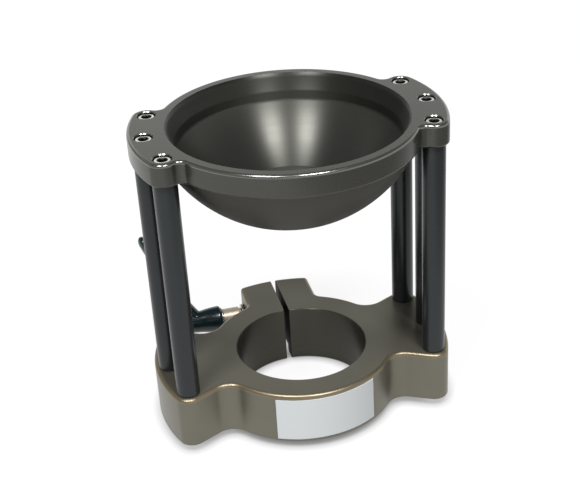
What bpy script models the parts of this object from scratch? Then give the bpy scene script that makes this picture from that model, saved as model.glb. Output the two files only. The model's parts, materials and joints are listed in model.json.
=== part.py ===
"""Half ball adapter: a bowl plate on six columns over a split clamp base.

Metres, +Z up. The origin is on the axis of the clamp bore, in the plane the
base stands on. The clamp slit and its lugs face +Y, the ears face +X and -X.
"""

import math
from collections import namedtuple

import bmesh
import bpy
from mathutils import Matrix, Vector

MM = 0.001
GAP = 0.3 * MM
ROUND_STEPS = 60
COLUMN_STEPS = 24
SMALL_STEPS = 18
SMOOTH_ANGLE = math.radians(28)
MERGE_DISTANCE = 0.02 * MM

# How far a cutter runs past the faces that it opens
CUT_REACH = 5.0 * MM

# Heights above the surface the base stands on
TOP_Z = 198.0 * MM
PLATE_UNDER_Z = 183.5 * MM
BOWL_UNDER_Z = 145.2 * MM
BASE_TOP_Z = 39.3 * MM
BASE_UNDER_Z = 4.9 * MM

# Ball seat: a ball of 150 mm, its centre above the top face
BALL_RADIUS = 75.0 * MM
BALL_CENTRE_Z = TOP_Z + 20.5 * MM
RELIEF_RADIUS = 77.1 * MM
BOWL_OUTER_RADIUS = 85.0 * MM
SEAT_TOP_DEPTH = 1.2 * MM
SEAT_DEPTH = 11.2 * MM
MOUTH_RADIUS = 73.0 * MM
TIE_DOWN_RADIUS = 35.0 * MM
TIE_DOWN_CHAMFER = 0.8 * MM

# Bowl plate in plan
RING_RADIUS = 79.6 * MM
EAR_RADIUS = 95.3 * MM
EAR_CORNER = 9.0 * MM
EAR_CORNER_ANGLE = math.radians(22.3)
EAR_FILLET = 4.6 * MM
PLATE_TOP_ROUND = 2.0 * MM
PLATE_UNDER_ROUND = 1.6 * MM

# Clamp base in plan
BASE_RING_RADIUS = 60.3 * MM
BASE_EAR_RADIUS = 95.5 * MM
BASE_EAR_ANGLE = math.radians(28.5)
BASE_EAR_CORNER = 9.0 * MM
BASE_EAR_FILLET = 12.0 * MM
LUG_HALF_WIDTH = 24.0 * MM
LUG_RADIUS = 85.2 * MM
LUG_CORNER = 2.6 * MM
LUG_FILLET = 6.5 * MM
BASE_TOP_ROUND = 2.5 * MM
BASE_UNDER_CHAMFER = 0.8 * MM
BORE_RADIUS = 41.9 * MM
BORE_CHAMFER = 0.8 * MM
COLLAR_RADIUS = 52.5 * MM
COLLAR_CHAMFER = 0.6 * MM
SLIT_WIDTH = 3.3 * MM

# Columns and their screws
SCREW_CIRCLE = 86.0 * MM
SCREW_SPREAD = math.radians(22.0)
COLUMN_RADIUS = 7.2 * MM
COLUMN_CHAMFER = 0.5 * MM
TAPPED_DEPTH = 14.0 * MM
SCREW_RADIUS = 3.0 * MM
SCREW_POINT = 0.6 * MM
HEAD_RADIUS = 5.0 * MM
HEAD_HEIGHT = 6.0 * MM
HEAD_CHAMFER = 0.4 * MM
KEY_HALF_WIDTH = 2.5 * MM
KEY_DEPTH = 3.0 * MM
TOP_SCREW_LENGTH = 20.0 * MM
BASE_SCREW_LENGTH = 40.0 * MM
SINK_RADIUS = 5.5 * MM
SINK_CHAMFER = 0.5 * MM
TOP_SCREW_DROP = 1.0 * MM
BASE_SCREW_DROP = 0.7 * MM

# Clamp screw, along X through the lugs
CLAMP_Y = 73.5 * MM
CLAMP_Z = (BASE_TOP_Z + BASE_UNDER_Z) / 2
STUD_RADIUS = 4.0 * MM
STUD_POINT = 0.7 * MM
STUD_END_X = 21.0 * MM
WASHER_RADIUS = 7.6 * MM
WASHER_THICKNESS = 1.6 * MM
SLEEVE_RADIUS = 6.2 * MM
SLEEVE_LENGTH = 13.1 * MM
SLEEVE_NECK_RADIUS = 5.1 * MM
SLEEVE_NECK_LENGTH = 1.6 * MM
SLEEVE_CHAMFER = 0.4 * MM

# Clamping lever, measured outwards from the foot of its hub, which narrows like a barrel:
# its swell is (radius, height) on the way from the foot to the head
HUB_FOOT = 40.6 * MM
HUB_HEIGHT = 26.5 * MM
HUB_FOOT_RADIUS = 9.05 * MM
HUB_HEAD_RADIUS = 6.8 * MM
HUB_DOME = 1.8 * MM
HUB_ROLL = 1.5 * MM
HUB_SWELL = ((8.7 * MM, 7.0 * MM), (7.6 * MM, 14.7 * MM))
FLANGE_RADIUS = 7.4 * MM
FLANGE_FOOT = -1.0 * MM
TEETH = 12
TOOTH_ROOT_SHARE = 0.3
TOOTH_TIP_START = 0.5
TOOTH_TIP_END = 0.8
TOOTH_TIP_RADIUS = 6.2 * MM
TOOTH_ROOT_RADIUS = 5.5 * MM
TOOTH_HEIGHT = 4.5 * MM
STUD_POCKET_TOP = 1.0 * MM
POCKET_DEPTH = 5.5 * MM
WEB_TOP = 9.0 * MM
RETAINER_RADIUS = 2.5 * MM
RETAINER_END = 1.3 * MM
RECESS_RADIUS = 4.7 * MM
RETAINER_HEAD_RADIUS = 4.3 * MM
RETAINER_HEAD_FOOT = 21.0 * MM
RETAINER_HEAD_HEIGHT = 2.3 * MM
RETAINER_KEY_HALF_WIDTH = 1.5 * MM
RETAINER_KEY_DEPTH = 1.4 * MM
SPRING_RADIUS = 3.7 * MM
SPRING_WIRE = 0.35 * MM
SPRING_TURNS = 5
SPRING_STEPS_PER_TURN = 12
SPRING_SIDES = 5
LEVER_TILT = math.radians(28.0)

# Lever arm: (reach from the axis, height over the hub's foot) of its curve's control points
ARM_ROOT = (3.0 * MM, 17.5 * MM)
ARM_LIFT = (14.5 * MM, 25.0 * MM)
ARM_BEND = (40.5 * MM, 38.0 * MM)
ARM_TIP = (65.0 * MM, 46.8 * MM)
ARM_HALF_WIDTHS = (6.3 * MM, 5.0 * MM, 6.6 * MM)
ARM_HALF_DEPTHS = (5.2 * MM, 3.4 * MM, 3.6 * MM)
ARM_TIP_ROUND = 6.0 * MM
ARM_TIP_FULLNESS = 0.25
ARM_STATIONS = 14
ARM_CROWDING = 1.6
ARM_SIDES = 16

# Label on the front of the base, angles measured from -Y towards +X
LABEL_START = math.radians(-29.2)
LABEL_END = math.radians(33.9)
LABEL_MIDDLE_Z = 21.8 * MM
LABEL_HEIGHT = 29.4 * MM
LABEL_THICKNESS = 0.25 * MM
LABEL_BACK = 0.1 * MM
LABEL_SLOPE = 0.014
LABEL_STEPS = 16

Arc = namedtuple("Arc", "centre radius start end steps hollow")


def clear_scene():
    """Remove every object of the open scene."""
    for item in list(bpy.data.objects):
        bpy.data.objects.remove(item, do_unlink=True)


def make_finish(name, colour, roughness, metallic):
    """Return a Principled material with one colour, roughness and metal value."""
    finish = bpy.data.materials.new(name)
    finish.use_nodes = True
    shader = finish.node_tree.nodes["Principled BSDF"]
    shader.inputs["Base Color"].default_value = (*colour, 1.0)
    shader.inputs["Roughness"].default_value = roughness
    shader.inputs["Metallic"].default_value = metallic
    finish.diffuse_color = (*colour, 1.0)
    return finish


def circle(radius, z, steps=ROUND_STEPS):
    """Return the points of a level circle about the Z axis."""
    turn = 2 * math.pi / steps
    return [Vector((radius * math.cos(i * turn), radius * math.sin(i * turn), z)) for i in range(steps)]


def loft(loops, ring=False):
    """Return a bmesh that joins loops of equal length, capped, or closed on itself as a ring."""
    shape = bmesh.new()
    rows = [[shape.verts.new(point) for point in loop] for loop in loops]
    count = len(rows[0])
    pairs = list(zip(rows, rows[1:]))
    if ring:
        pairs.append((rows[-1], rows[0]))
    else:
        shape.faces.new(rows[0])
        shape.faces.new(rows[-1])
    for lower, upper in pairs:
        for i in range(count):
            j = (i + 1) % count
            shape.faces.new((lower[i], lower[j], upper[j], upper[i]))
    bmesh.ops.recalc_face_normals(shape, faces=shape.faces)
    return shape


def turned(profile, steps=ROUND_STEPS, ring=False):
    """Return a bmesh turned about Z from (radius, z) pairs."""
    return loft([circle(radius, z, steps) for radius, z in profile], ring)


def combined(shapes):
    """Return one bmesh that holds all the given ones, which it frees."""
    whole = bmesh.new()
    for shape in shapes:
        mesh = bpy.data.meshes.new("loose")
        shape.to_mesh(mesh)
        shape.free()
        whole.from_mesh(mesh)
        bpy.data.meshes.remove(mesh)
    return whole


def add_object(name, shape, finish=None, location=(0, 0, 0), parent=None):
    """Make an object of a bmesh, smooth where its faces meet at small angles."""
    mesh = bpy.data.meshes.new(name)
    shape.to_mesh(mesh)
    shape.free()
    mesh.shade_smooth()
    mesh.set_sharp_from_angle(angle=SMOOTH_ANGLE)
    item = bpy.data.objects.new(name, mesh)
    bpy.context.collection.objects.link(item)
    item.location = location
    item.parent = parent
    if finish:
        mesh.materials.append(finish)
    return item


def combine(target, shape, operation, label, parent=None):
    """Add a bmesh to an object, or cut it from it, with a live Boolean."""
    tool = add_object(target.name + "." + label, shape, parent=parent)
    tool.hide_render = True
    tool.display_type = "WIRE"
    modifier = target.modifiers.new(label, "BOOLEAN")
    modifier.operation = operation
    modifier.solver = "EXACT"
    modifier.object = tool


def arc_points(arc, inset):
    """Return the points of an arc moved inwards, where a hollow arc grows and others shrink."""
    radius = arc.radius + inset if arc.hollow else arc.radius - inset
    points = []
    for i in range(arc.steps + 1):
        angle = arc.start + (arc.end - arc.start) * i / arc.steps
        points.append((arc.centre[0] + radius * math.cos(angle), arc.centre[1] + radius * math.sin(angle)))
    return points


def outline_loop(arcs, inset, z):
    """Return a level loop through a chain of arcs, without repeated points."""
    loop = []
    for arc in arcs:
        for x, y in arc_points(arc, inset):
            point = Vector((x, y, z))
            if not loop or (point - loop[-1]).length > MERGE_DISTANCE:
                loop.append(point)
    if (loop[0] - loop[-1]).length < MERGE_DISTANCE:
        loop.pop()
    return loop


def mirrored(arcs, across_x):
    """Return a chain of arcs reflected in X, or in Y, and still counter-clockwise."""
    result = []
    for arc in reversed(arcs):
        x, y = arc.centre
        if across_x:
            result.append(arc._replace(centre=(-x, y), start=math.pi - arc.end, end=math.pi - arc.start))
        else:
            result.append(arc._replace(centre=(x, -y), start=-arc.end, end=-arc.start))
    return result


def rounded_slab(arcs, under_z, top_z, under_inset, top_inset, under_steps, top_steps):
    """Return a slab of an outline, its upper and lower edges rounded by stacked loops."""
    loops = []
    for i in range(under_steps + 1):
        angle = math.pi / 2 * i / under_steps
        inset = under_inset * (1 - math.sin(angle))
        loops.append(outline_loop(arcs, inset, under_z + under_inset * (1 - math.cos(angle))))
    for i in range(top_steps + 1):
        angle = math.pi / 2 * i / top_steps
        inset = top_inset * (1 - math.cos(angle))
        loops.append(outline_loop(arcs, inset, top_z - top_inset * (1 - math.sin(angle))))
    return loft(loops)


def plate_quadrant():
    """Return the arcs of the bowl plate from +X round to +Y.

    Each ear's corner runs into its notch with no straight side between them.
    """
    corner_reach = EAR_RADIUS - EAR_CORNER
    fillet_reach = RING_RADIUS + EAR_FILLET
    apart = EAR_CORNER + EAR_FILLET
    swing = math.acos(
        (fillet_reach ** 2 + corner_reach ** 2 - apart ** 2) / (2 * fillet_reach * corner_reach)
    )
    fillet_angle = EAR_CORNER_ANGLE + swing
    corner_x = corner_reach * math.cos(EAR_CORNER_ANGLE)
    corner_y = corner_reach * math.sin(EAR_CORNER_ANGLE)
    fillet_x = fillet_reach * math.cos(fillet_angle)
    fillet_y = fillet_reach * math.sin(fillet_angle)
    touch = math.atan2(fillet_y - corner_y, fillet_x - corner_x)
    return [
        Arc((0, 0), EAR_RADIUS, 0, EAR_CORNER_ANGLE, 5, False),
        Arc((corner_x, corner_y), EAR_CORNER, EAR_CORNER_ANGLE, touch, 7, False),
        Arc((fillet_x, fillet_y), EAR_FILLET, touch - math.pi, fillet_angle - math.pi, 4, True),
        Arc((0, 0), RING_RADIUS, fillet_angle, math.pi / 2, 10, False),
    ]


def base_ear_arcs():
    """Return the arcs of a base ear from +X to its fillet, and the angle where the ring starts."""
    corner_reach = BASE_EAR_RADIUS - BASE_EAR_CORNER
    corner_angle = BASE_EAR_ANGLE - math.asin(BASE_EAR_CORNER / corner_reach)
    corner = (corner_reach * math.cos(corner_angle), corner_reach * math.sin(corner_angle))
    side = BASE_EAR_ANGLE + math.pi / 2
    fillet_reach = BASE_RING_RADIUS + BASE_EAR_FILLET
    fillet_angle = BASE_EAR_ANGLE + math.asin(BASE_EAR_FILLET / fillet_reach)
    fillet = (fillet_reach * math.cos(fillet_angle), fillet_reach * math.sin(fillet_angle))
    arcs = [
        Arc((0, 0), BASE_EAR_RADIUS, 0, corner_angle, 5, False),
        Arc(corner, BASE_EAR_CORNER, corner_angle, side, 7, False),
        Arc(fillet, BASE_EAR_FILLET, side - math.pi, fillet_angle - math.pi, 6, True),
    ]
    return arcs, fillet_angle


def base_front_quadrant():
    """Return the arcs of the clamp base from +X round to +Y, without a lug."""
    arcs, ring_start = base_ear_arcs()
    arcs.append(Arc((0, 0), BASE_RING_RADIUS, ring_start, math.pi / 2, 8, False))
    return arcs


def base_rear_quadrant():
    """Return the arcs of the clamp base from +X round to +Y, with half of the lugs."""
    arcs, ring_start = base_ear_arcs()
    fillet_x = LUG_HALF_WIDTH + LUG_FILLET
    fillet_y = math.sqrt((BASE_RING_RADIUS + LUG_FILLET) ** 2 - fillet_x ** 2)
    fillet_angle = math.atan2(fillet_y, fillet_x)
    corner_x = LUG_HALF_WIDTH - LUG_CORNER
    corner_y = math.sqrt((LUG_RADIUS - LUG_CORNER) ** 2 - corner_x ** 2)
    corner_angle = math.atan2(corner_y, corner_x)
    arcs += [
        Arc((0, 0), BASE_RING_RADIUS, ring_start, fillet_angle, 6, False),
        Arc((fillet_x, fillet_y), LUG_FILLET, fillet_angle - math.pi, -math.pi, 4, True),
        Arc((corner_x, corner_y), LUG_CORNER, 0, corner_angle, 4, False),
        Arc((0, 0), LUG_RADIUS, corner_angle, math.pi / 2, 4, False),
    ]
    return arcs


def all_round(rear, front):
    """Return a full outline from a rear and a front quadrant."""
    left_rear = mirrored(rear, True)
    right_front = mirrored(front, False)
    left_front = mirrored(right_front, True)
    return rear + left_rear + left_front + right_front


def ball_radius_at(z, radius):
    """Return the radius at a height of a ball about the seat's centre."""
    return math.sqrt(radius ** 2 - (BALL_CENTRE_Z - z) ** 2)


def ball_profile(radius, start_z, end_z, steps):
    """Return (radius, z) pairs along a ball about the seat's centre, at equal angles."""
    start = math.acos((BALL_CENTRE_Z - start_z) / radius)
    end = math.acos((BALL_CENTRE_Z - end_z) / radius)
    angles = [start + (end - start) * i / steps for i in range(steps + 1)]
    return [(radius * math.sin(angle), BALL_CENTRE_Z - radius * math.cos(angle)) for angle in angles]


def screw_places():
    """Return name endings and (x, y) places of the six columns."""
    places = []
    for side, side_name in ((-1, "left"), (1, "right")):
        for step, row in ((-1, "front"), (0, "middle"), (1, "rear")):
            angle = SCREW_SPREAD * step
            x = side * SCREW_CIRCLE * math.cos(angle)
            places.append((side_name + "_" + row, x, SCREW_CIRCLE * math.sin(angle)))
    return places


def at_screws(profile):
    """Return one bmesh with a turned shape at each of the six screw places."""
    shapes = []
    for _, x, y in screw_places():
        shape = turned(profile, SMALL_STEPS)
        bmesh.ops.translate(shape, vec=(x, y, 0), verts=shape.verts)
        shapes.append(shape)
    return combined(shapes)


def make_bowl_plate(finish):
    """Build the plate with its bowl, seat, tie-down hole and six sunk screw holes."""
    quadrant = plate_quadrant()
    outline = all_round(quadrant, quadrant)
    slab = rounded_slab(outline, PLATE_UNDER_Z, TOP_Z, PLATE_UNDER_ROUND, PLATE_TOP_ROUND, 2, 3)
    plate = add_object("bowl_plate", slab, finish)
    middle_z = (PLATE_UNDER_Z + TOP_Z) / 2
    bowl = ball_profile(BOWL_OUTER_RADIUS, BOWL_UNDER_Z, PLATE_UNDER_Z + PLATE_UNDER_ROUND, 7)
    bowl.append((bowl[-1][0], middle_z))
    combine(plate, turned(bowl), "UNION", "bowl")
    seat_top_z = TOP_Z - SEAT_TOP_DEPTH
    seat_end_z = TOP_Z - SEAT_DEPTH
    neck = ball_radius_at(seat_end_z, BALL_RADIUS)
    relief_top_z = BALL_CENTRE_Z - math.sqrt(RELIEF_RADIUS ** 2 - neck ** 2)
    relief_end_z = BALL_CENTRE_Z - math.sqrt(RELIEF_RADIUS ** 2 - TIE_DOWN_RADIUS ** 2)
    inside = [(MOUTH_RADIUS, TOP_Z + CUT_REACH), (MOUTH_RADIUS, TOP_Z)]
    inside += ball_profile(BALL_RADIUS, seat_top_z, seat_end_z, 3)
    inside += ball_profile(RELIEF_RADIUS, relief_top_z, relief_end_z, 7)
    wide = TIE_DOWN_RADIUS + TIE_DOWN_CHAMFER
    inside += [(TIE_DOWN_RADIUS, BOWL_UNDER_Z + TIE_DOWN_CHAMFER), (wide, BOWL_UNDER_Z)]
    inside.append((wide, BOWL_UNDER_Z - CUT_REACH))
    combine(plate, turned(inside), "DIFFERENCE", "inside")
    floor_z = TOP_Z - TOP_SCREW_DROP - HEAD_HEIGHT - GAP
    sink = [
        (SCREW_RADIUS + GAP, PLATE_UNDER_Z - CUT_REACH),
        (SCREW_RADIUS + GAP, floor_z),
        (SINK_RADIUS, floor_z),
        (SINK_RADIUS, TOP_Z - SINK_CHAMFER),
        (SINK_RADIUS + SINK_CHAMFER, TOP_Z),
        (SINK_RADIUS + SINK_CHAMFER, TOP_Z + CUT_REACH),
    ]
    combine(plate, at_screws(sink), "DIFFERENCE", "screw_holes")


def make_base_clamp(finish):
    """Build the split base with its bore, collar, lugs, slit and screw holes."""
    outline = all_round(base_rear_quadrant(), base_front_quadrant())
    slab = rounded_slab(outline, BASE_UNDER_Z, BASE_TOP_Z, BASE_UNDER_CHAMFER, BASE_TOP_ROUND, 1, 3)
    base = add_object("base_clamp", slab, finish)
    collar = [
        (COLLAR_RADIUS - COLLAR_CHAMFER, 0),
        (COLLAR_RADIUS, COLLAR_CHAMFER),
        (COLLAR_RADIUS, BASE_UNDER_Z + COLLAR_CHAMFER),
    ]
    combine(base, turned(collar), "UNION", "collar")
    bore = [
        (BORE_RADIUS + BORE_CHAMFER, -CUT_REACH),
        (BORE_RADIUS + BORE_CHAMFER, 0),
        (BORE_RADIUS, BORE_CHAMFER),
        (BORE_RADIUS, BASE_TOP_Z - BORE_CHAMFER),
        (BORE_RADIUS + BORE_CHAMFER, BASE_TOP_Z),
        (BORE_RADIUS + BORE_CHAMFER, BASE_TOP_Z + CUT_REACH),
    ]
    combine(base, turned(bore), "DIFFERENCE", "bore")
    slit_start = BORE_RADIUS - CUT_REACH
    slit_end = LUG_RADIUS + CUT_REACH
    slit = bmesh.new()
    bmesh.ops.create_cube(slit, size=1.0)
    slit_size = (SLIT_WIDTH, slit_end - slit_start, BASE_TOP_Z + 2 * CUT_REACH)
    bmesh.ops.scale(slit, vec=slit_size, verts=slit.verts)
    bmesh.ops.translate(slit, vec=(0, (slit_start + slit_end) / 2, BASE_TOP_Z / 2), verts=slit.verts)
    combine(base, slit, "DIFFERENCE", "slit")
    ceiling_z = BASE_UNDER_Z + BASE_SCREW_DROP + HEAD_HEIGHT + GAP
    sink = [
        (SINK_RADIUS + SINK_CHAMFER, BASE_UNDER_Z - CUT_REACH),
        (SINK_RADIUS + SINK_CHAMFER, BASE_UNDER_Z),
        (SINK_RADIUS, BASE_UNDER_Z + SINK_CHAMFER),
        (SINK_RADIUS, ceiling_z),
        (SCREW_RADIUS + GAP, ceiling_z),
        (SCREW_RADIUS + GAP, BASE_TOP_Z + CUT_REACH),
    ]
    combine(base, at_screws(sink), "DIFFERENCE", "screw_holes")
    stud_reach = LUG_HALF_WIDTH + CUT_REACH
    stud_bore = turned([(STUD_RADIUS + GAP, -stud_reach), (STUD_RADIUS + GAP, stud_reach)], SMALL_STEPS)
    sideways = Matrix.Translation((0, CLAMP_Y, CLAMP_Z)) @ Matrix.Rotation(math.pi / 2, 4, "Y")
    bmesh.ops.transform(stud_bore, matrix=sideways, verts=stud_bore.verts)
    combine(base, stud_bore, "DIFFERENCE", "stud_bore")


def column_shape():
    """Return a bar with a tapped hole in each end, from its foot upwards."""
    length = PLATE_UNDER_Z - BASE_TOP_Z - 2 * GAP
    hole = SCREW_RADIUS + GAP
    edge = COLUMN_RADIUS - COLUMN_CHAMFER
    profile = [
        (hole, TAPPED_DEPTH),
        (hole, 0),
        (edge, 0),
        (COLUMN_RADIUS, COLUMN_CHAMFER),
        (COLUMN_RADIUS, length - COLUMN_CHAMFER),
        (edge, length),
        (hole, length),
        (hole, length - TAPPED_DEPTH),
    ]
    return turned(profile, COLUMN_STEPS)


def hexagon(half_width, z, steps):
    """Return the points of a level hexagon, at the same angles as a circle's."""
    points = []
    for point in circle(1.0, z, steps):
        angle = math.atan2(point.y, point.x) % (math.pi / 3) - math.pi / 6
        reach = half_width / math.cos(angle)
        points.append(Vector((point.x * reach, point.y * reach, z)))
    return points


def cap_screw_shape(length):
    """Return a socket head cap screw, its head's underside at zero and its shank downwards."""
    loops = [
        circle(SCREW_RADIUS - SCREW_POINT, -length, SMALL_STEPS),
        circle(SCREW_RADIUS, -length + SCREW_POINT, SMALL_STEPS),
        circle(SCREW_RADIUS, 0, SMALL_STEPS),
        circle(HEAD_RADIUS, 0, SMALL_STEPS),
        circle(HEAD_RADIUS, HEAD_HEIGHT - HEAD_CHAMFER, SMALL_STEPS),
        circle(HEAD_RADIUS - HEAD_CHAMFER, HEAD_HEIGHT, SMALL_STEPS),
        hexagon(KEY_HALF_WIDTH, HEAD_HEIGHT, SMALL_STEPS),
        hexagon(KEY_HALF_WIDTH, HEAD_HEIGHT - KEY_DEPTH, SMALL_STEPS),
    ]
    return loft(loops)


def make_columns(column_finish, screw_finish):
    """Build the six columns, each with a screw from above and one from below."""
    top_foot_z = TOP_Z - TOP_SCREW_DROP - HEAD_HEIGHT
    base_foot_z = BASE_UNDER_Z + BASE_SCREW_DROP + HEAD_HEIGHT
    for place, x, y in screw_places():
        add_object("column_" + place, column_shape(), column_finish, (x, y, BASE_TOP_Z + GAP))
        top_screw = cap_screw_shape(TOP_SCREW_LENGTH)
        add_object("top_screw_" + place, top_screw, screw_finish, (x, y, top_foot_z))
        base_screw = cap_screw_shape(BASE_SCREW_LENGTH)
        item = add_object("base_screw_" + place, base_screw, screw_finish, (x, y, base_foot_z))
        item.rotation_euler = (math.pi, 0, 0)


def toothed(root_radius, tip_radius, z):
    """Return a level loop of blunt teeth, four points to a tooth."""
    corners = (
        (0.0, root_radius),
        (TOOTH_ROOT_SHARE, root_radius),
        (TOOTH_TIP_START, tip_radius),
        (TOOTH_TIP_END, tip_radius),
    )
    points = []
    pitch = 2 * math.pi / TEETH
    for tooth in range(TEETH):
        for share, radius in corners:
            angle = pitch * (tooth + share)
            points.append(Vector((radius * math.cos(angle), radius * math.sin(angle), z)))
    return points


def arm_stations():
    """Return shares of the arm's curve, closer together where its tip rounds off."""
    return [1 - (1 - i / ARM_STATIONS) ** ARM_CROWDING for i in range(ARM_STATIONS + 1)]


def arm_curve(t):
    """Return the point and the direction of the arm's curve at a share of it."""
    controls = (ARM_ROOT, ARM_LIFT, ARM_BEND, ARM_TIP)
    root, lift, bend, tip = (Vector((reach, 0, height)) for reach, height in controls)
    s = 1 - t
    point = root * s ** 3 + lift * 3 * t * s ** 2 + bend * 3 * t ** 2 * s + tip * t ** 3
    along = (lift - root) * s ** 2 + (bend - lift) * 2 * t * s + (tip - bend) * t ** 2
    return point, along.normalized()


def lever_arm_shape():
    """Return the bent arm as ovals along a curve from inside the hub to its rounded tip."""
    across = Vector((0, 1, 0))
    end = arm_curve(1.0)[0]
    loops = []
    for t in arm_stations():
        centre, along = arm_curve(t)
        outwards = along.cross(across)
        covered = 1 - min(1.0, (end - centre).length / ARM_TIP_ROUND)
        fullness = max(ARM_TIP_FULLNESS, math.sqrt(1 - covered ** 2))
        width = blend(ARM_HALF_WIDTHS, t) * fullness
        depth = blend(ARM_HALF_DEPTHS, t) * fullness
        loop = []
        for k in range(ARM_SIDES):
            angle = 2 * math.pi * k / ARM_SIDES
            loop.append(centre + across * width * math.cos(angle) + outwards * depth * math.sin(angle))
        loops.append(loop)
    return loft(loops)


def blend(values, t):
    """Return a smooth value through a start, a middle and an end value."""
    first, middle, last = values
    return first * (1 - t) * (1 - 2 * t) + middle * 4 * t * (1 - t) + last * t * (2 * t - 1)


def lever_hub_profile():
    """Return the (radius, z) pairs of the hub: rolled foot, swell and domed head."""
    profile = []
    for i in range(3):
        angle = math.pi / 2 * i / 2
        radius = HUB_FOOT_RADIUS - HUB_ROLL * (1 - math.sin(angle))
        profile.append((radius, HUB_ROLL * (1 - math.cos(angle))))
    profile.extend(HUB_SWELL)
    for i in range(4):
        angle = math.pi / 2 * i / 3
        radius = HUB_HEAD_RADIUS - HUB_DOME * (1 - math.cos(angle))
        profile.append((radius, HUB_HEIGHT - HUB_DOME * (1 - math.sin(angle))))
    return profile


def make_lever(handle_finish, steel_finish, pivot):
    """Build the clamping lever about its pivot: handle, toothed insert, spring and screw."""
    hub = turned(lever_hub_profile(), COLUMN_STEPS)
    handle = add_object("lever_handle", hub, handle_finish, parent=pivot)
    combine(handle, lever_arm_shape(), "UNION", "arm", pivot)
    root = TOOTH_ROOT_RADIUS + GAP
    tip = TOOTH_TIP_RADIUS + GAP
    pocket = loft([toothed(root, tip, -CUT_REACH), toothed(root, tip, POCKET_DEPTH)])
    combine(handle, pocket, "DIFFERENCE", "pocket", pivot)
    recess = [
        (RETAINER_RADIUS + GAP, POCKET_DEPTH - CUT_REACH),
        (RETAINER_RADIUS + GAP, WEB_TOP),
        (RECESS_RADIUS, WEB_TOP),
        (RECESS_RADIUS, HUB_HEIGHT + CUT_REACH),
    ]
    combine(handle, turned(recess, SMALL_STEPS), "DIFFERENCE", "recess", pivot)
    tooth_loops = 4 * TEETH
    stud_hole = STUD_RADIUS + GAP
    screw_hole = RETAINER_RADIUS + GAP
    insert = [
        circle(stud_hole, FLANGE_FOOT, tooth_loops),
        circle(FLANGE_RADIUS, FLANGE_FOOT, tooth_loops),
        circle(FLANGE_RADIUS, -GAP, tooth_loops),
        toothed(TOOTH_ROOT_RADIUS, TOOTH_TIP_RADIUS, -GAP),
        toothed(TOOTH_ROOT_RADIUS, TOOTH_TIP_RADIUS, TOOTH_HEIGHT),
        circle(screw_hole, TOOTH_HEIGHT, tooth_loops),
        circle(screw_hole, STUD_POCKET_TOP, tooth_loops),
        circle(stud_hole, STUD_POCKET_TOP, tooth_loops),
    ]
    add_object("lever_insert", loft(insert, ring=True), steel_finish, parent=pivot)
    head_top = RETAINER_HEAD_FOOT + RETAINER_HEAD_HEIGHT
    retainer = [
        circle(RETAINER_RADIUS, RETAINER_END, SMALL_STEPS),
        circle(RETAINER_RADIUS, RETAINER_HEAD_FOOT, SMALL_STEPS),
        circle(RETAINER_HEAD_RADIUS, RETAINER_HEAD_FOOT, SMALL_STEPS),
        circle(RETAINER_HEAD_RADIUS, head_top - HEAD_CHAMFER, SMALL_STEPS),
        circle(RETAINER_HEAD_RADIUS - HEAD_CHAMFER, head_top, SMALL_STEPS),
        hexagon(RETAINER_KEY_HALF_WIDTH, head_top, SMALL_STEPS),
        hexagon(RETAINER_KEY_HALF_WIDTH, head_top - RETAINER_KEY_DEPTH, SMALL_STEPS),
    ]
    add_object("lever_screw", loft(retainer), steel_finish, parent=pivot)
    add_object("lever_spring", spring_shape(), steel_finish, parent=pivot)


def spring_shape():
    """Return the coil spring between the hub's web and the retaining screw's head."""
    low = WEB_TOP + GAP + SPRING_WIRE
    high = RETAINER_HEAD_FOOT - GAP - SPRING_WIRE
    upwards = Vector((0, 0, 1))
    steps = SPRING_STEPS_PER_TURN * SPRING_TURNS
    loops = []
    for i in range(steps + 1):
        t = i / steps
        angle = 2 * math.pi * SPRING_TURNS * t
        outwards = Vector((math.cos(angle), math.sin(angle), 0))
        centre = outwards * SPRING_RADIUS + upwards * (low + (high - low) * t)
        loop = []
        for k in range(SPRING_SIDES):
            turn = 2 * math.pi * k / SPRING_SIDES
            loop.append(centre + (outwards * math.cos(turn) + upwards * math.sin(turn)) * SPRING_WIRE)
        loops.append(loop)
    return loft(loops)


def make_clamp_screw(steel_finish, sleeve_finish, axis, pivot):
    """Build the stud on the lever's pivot, and the washer and sleeve on the clamp's axis."""
    stud = [
        (STUD_RADIUS - STUD_POINT, -HUB_FOOT - STUD_END_X),
        (STUD_RADIUS, -HUB_FOOT - STUD_END_X + STUD_POINT),
        (STUD_RADIUS, 0),
        (STUD_RADIUS - STUD_POINT, STUD_POINT),
    ]
    add_object("clamp_stud", turned(stud, SMALL_STEPS), steel_finish, parent=pivot)
    hole = STUD_RADIUS + GAP
    washer_foot = LUG_HALF_WIDTH + GAP
    washer_top = washer_foot + WASHER_THICKNESS
    washer = [
        (hole, washer_foot),
        (WASHER_RADIUS, washer_foot),
        (WASHER_RADIUS, washer_top),
        (hole, washer_top),
    ]
    add_object("clamp_washer", turned(washer, COLUMN_STEPS, ring=True), steel_finish, parent=axis)
    sleeve_foot = washer_top + GAP
    sleeve_top = sleeve_foot + SLEEVE_LENGTH
    shoulder = sleeve_foot + SLEEVE_NECK_LENGTH
    edge = SLEEVE_RADIUS - SLEEVE_CHAMFER
    sleeve = [
        (hole, sleeve_foot),
        (SLEEVE_NECK_RADIUS, sleeve_foot),
        (SLEEVE_NECK_RADIUS, shoulder),
        (edge, shoulder),
        (SLEEVE_RADIUS, shoulder + SLEEVE_CHAMFER),
        (SLEEVE_RADIUS, sleeve_top - SLEEVE_CHAMFER),
        (edge, sleeve_top),
        (hole, sleeve_top),
    ]
    add_object("spacer_sleeve", turned(sleeve, COLUMN_STEPS, ring=True), sleeve_finish, parent=axis)


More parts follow.
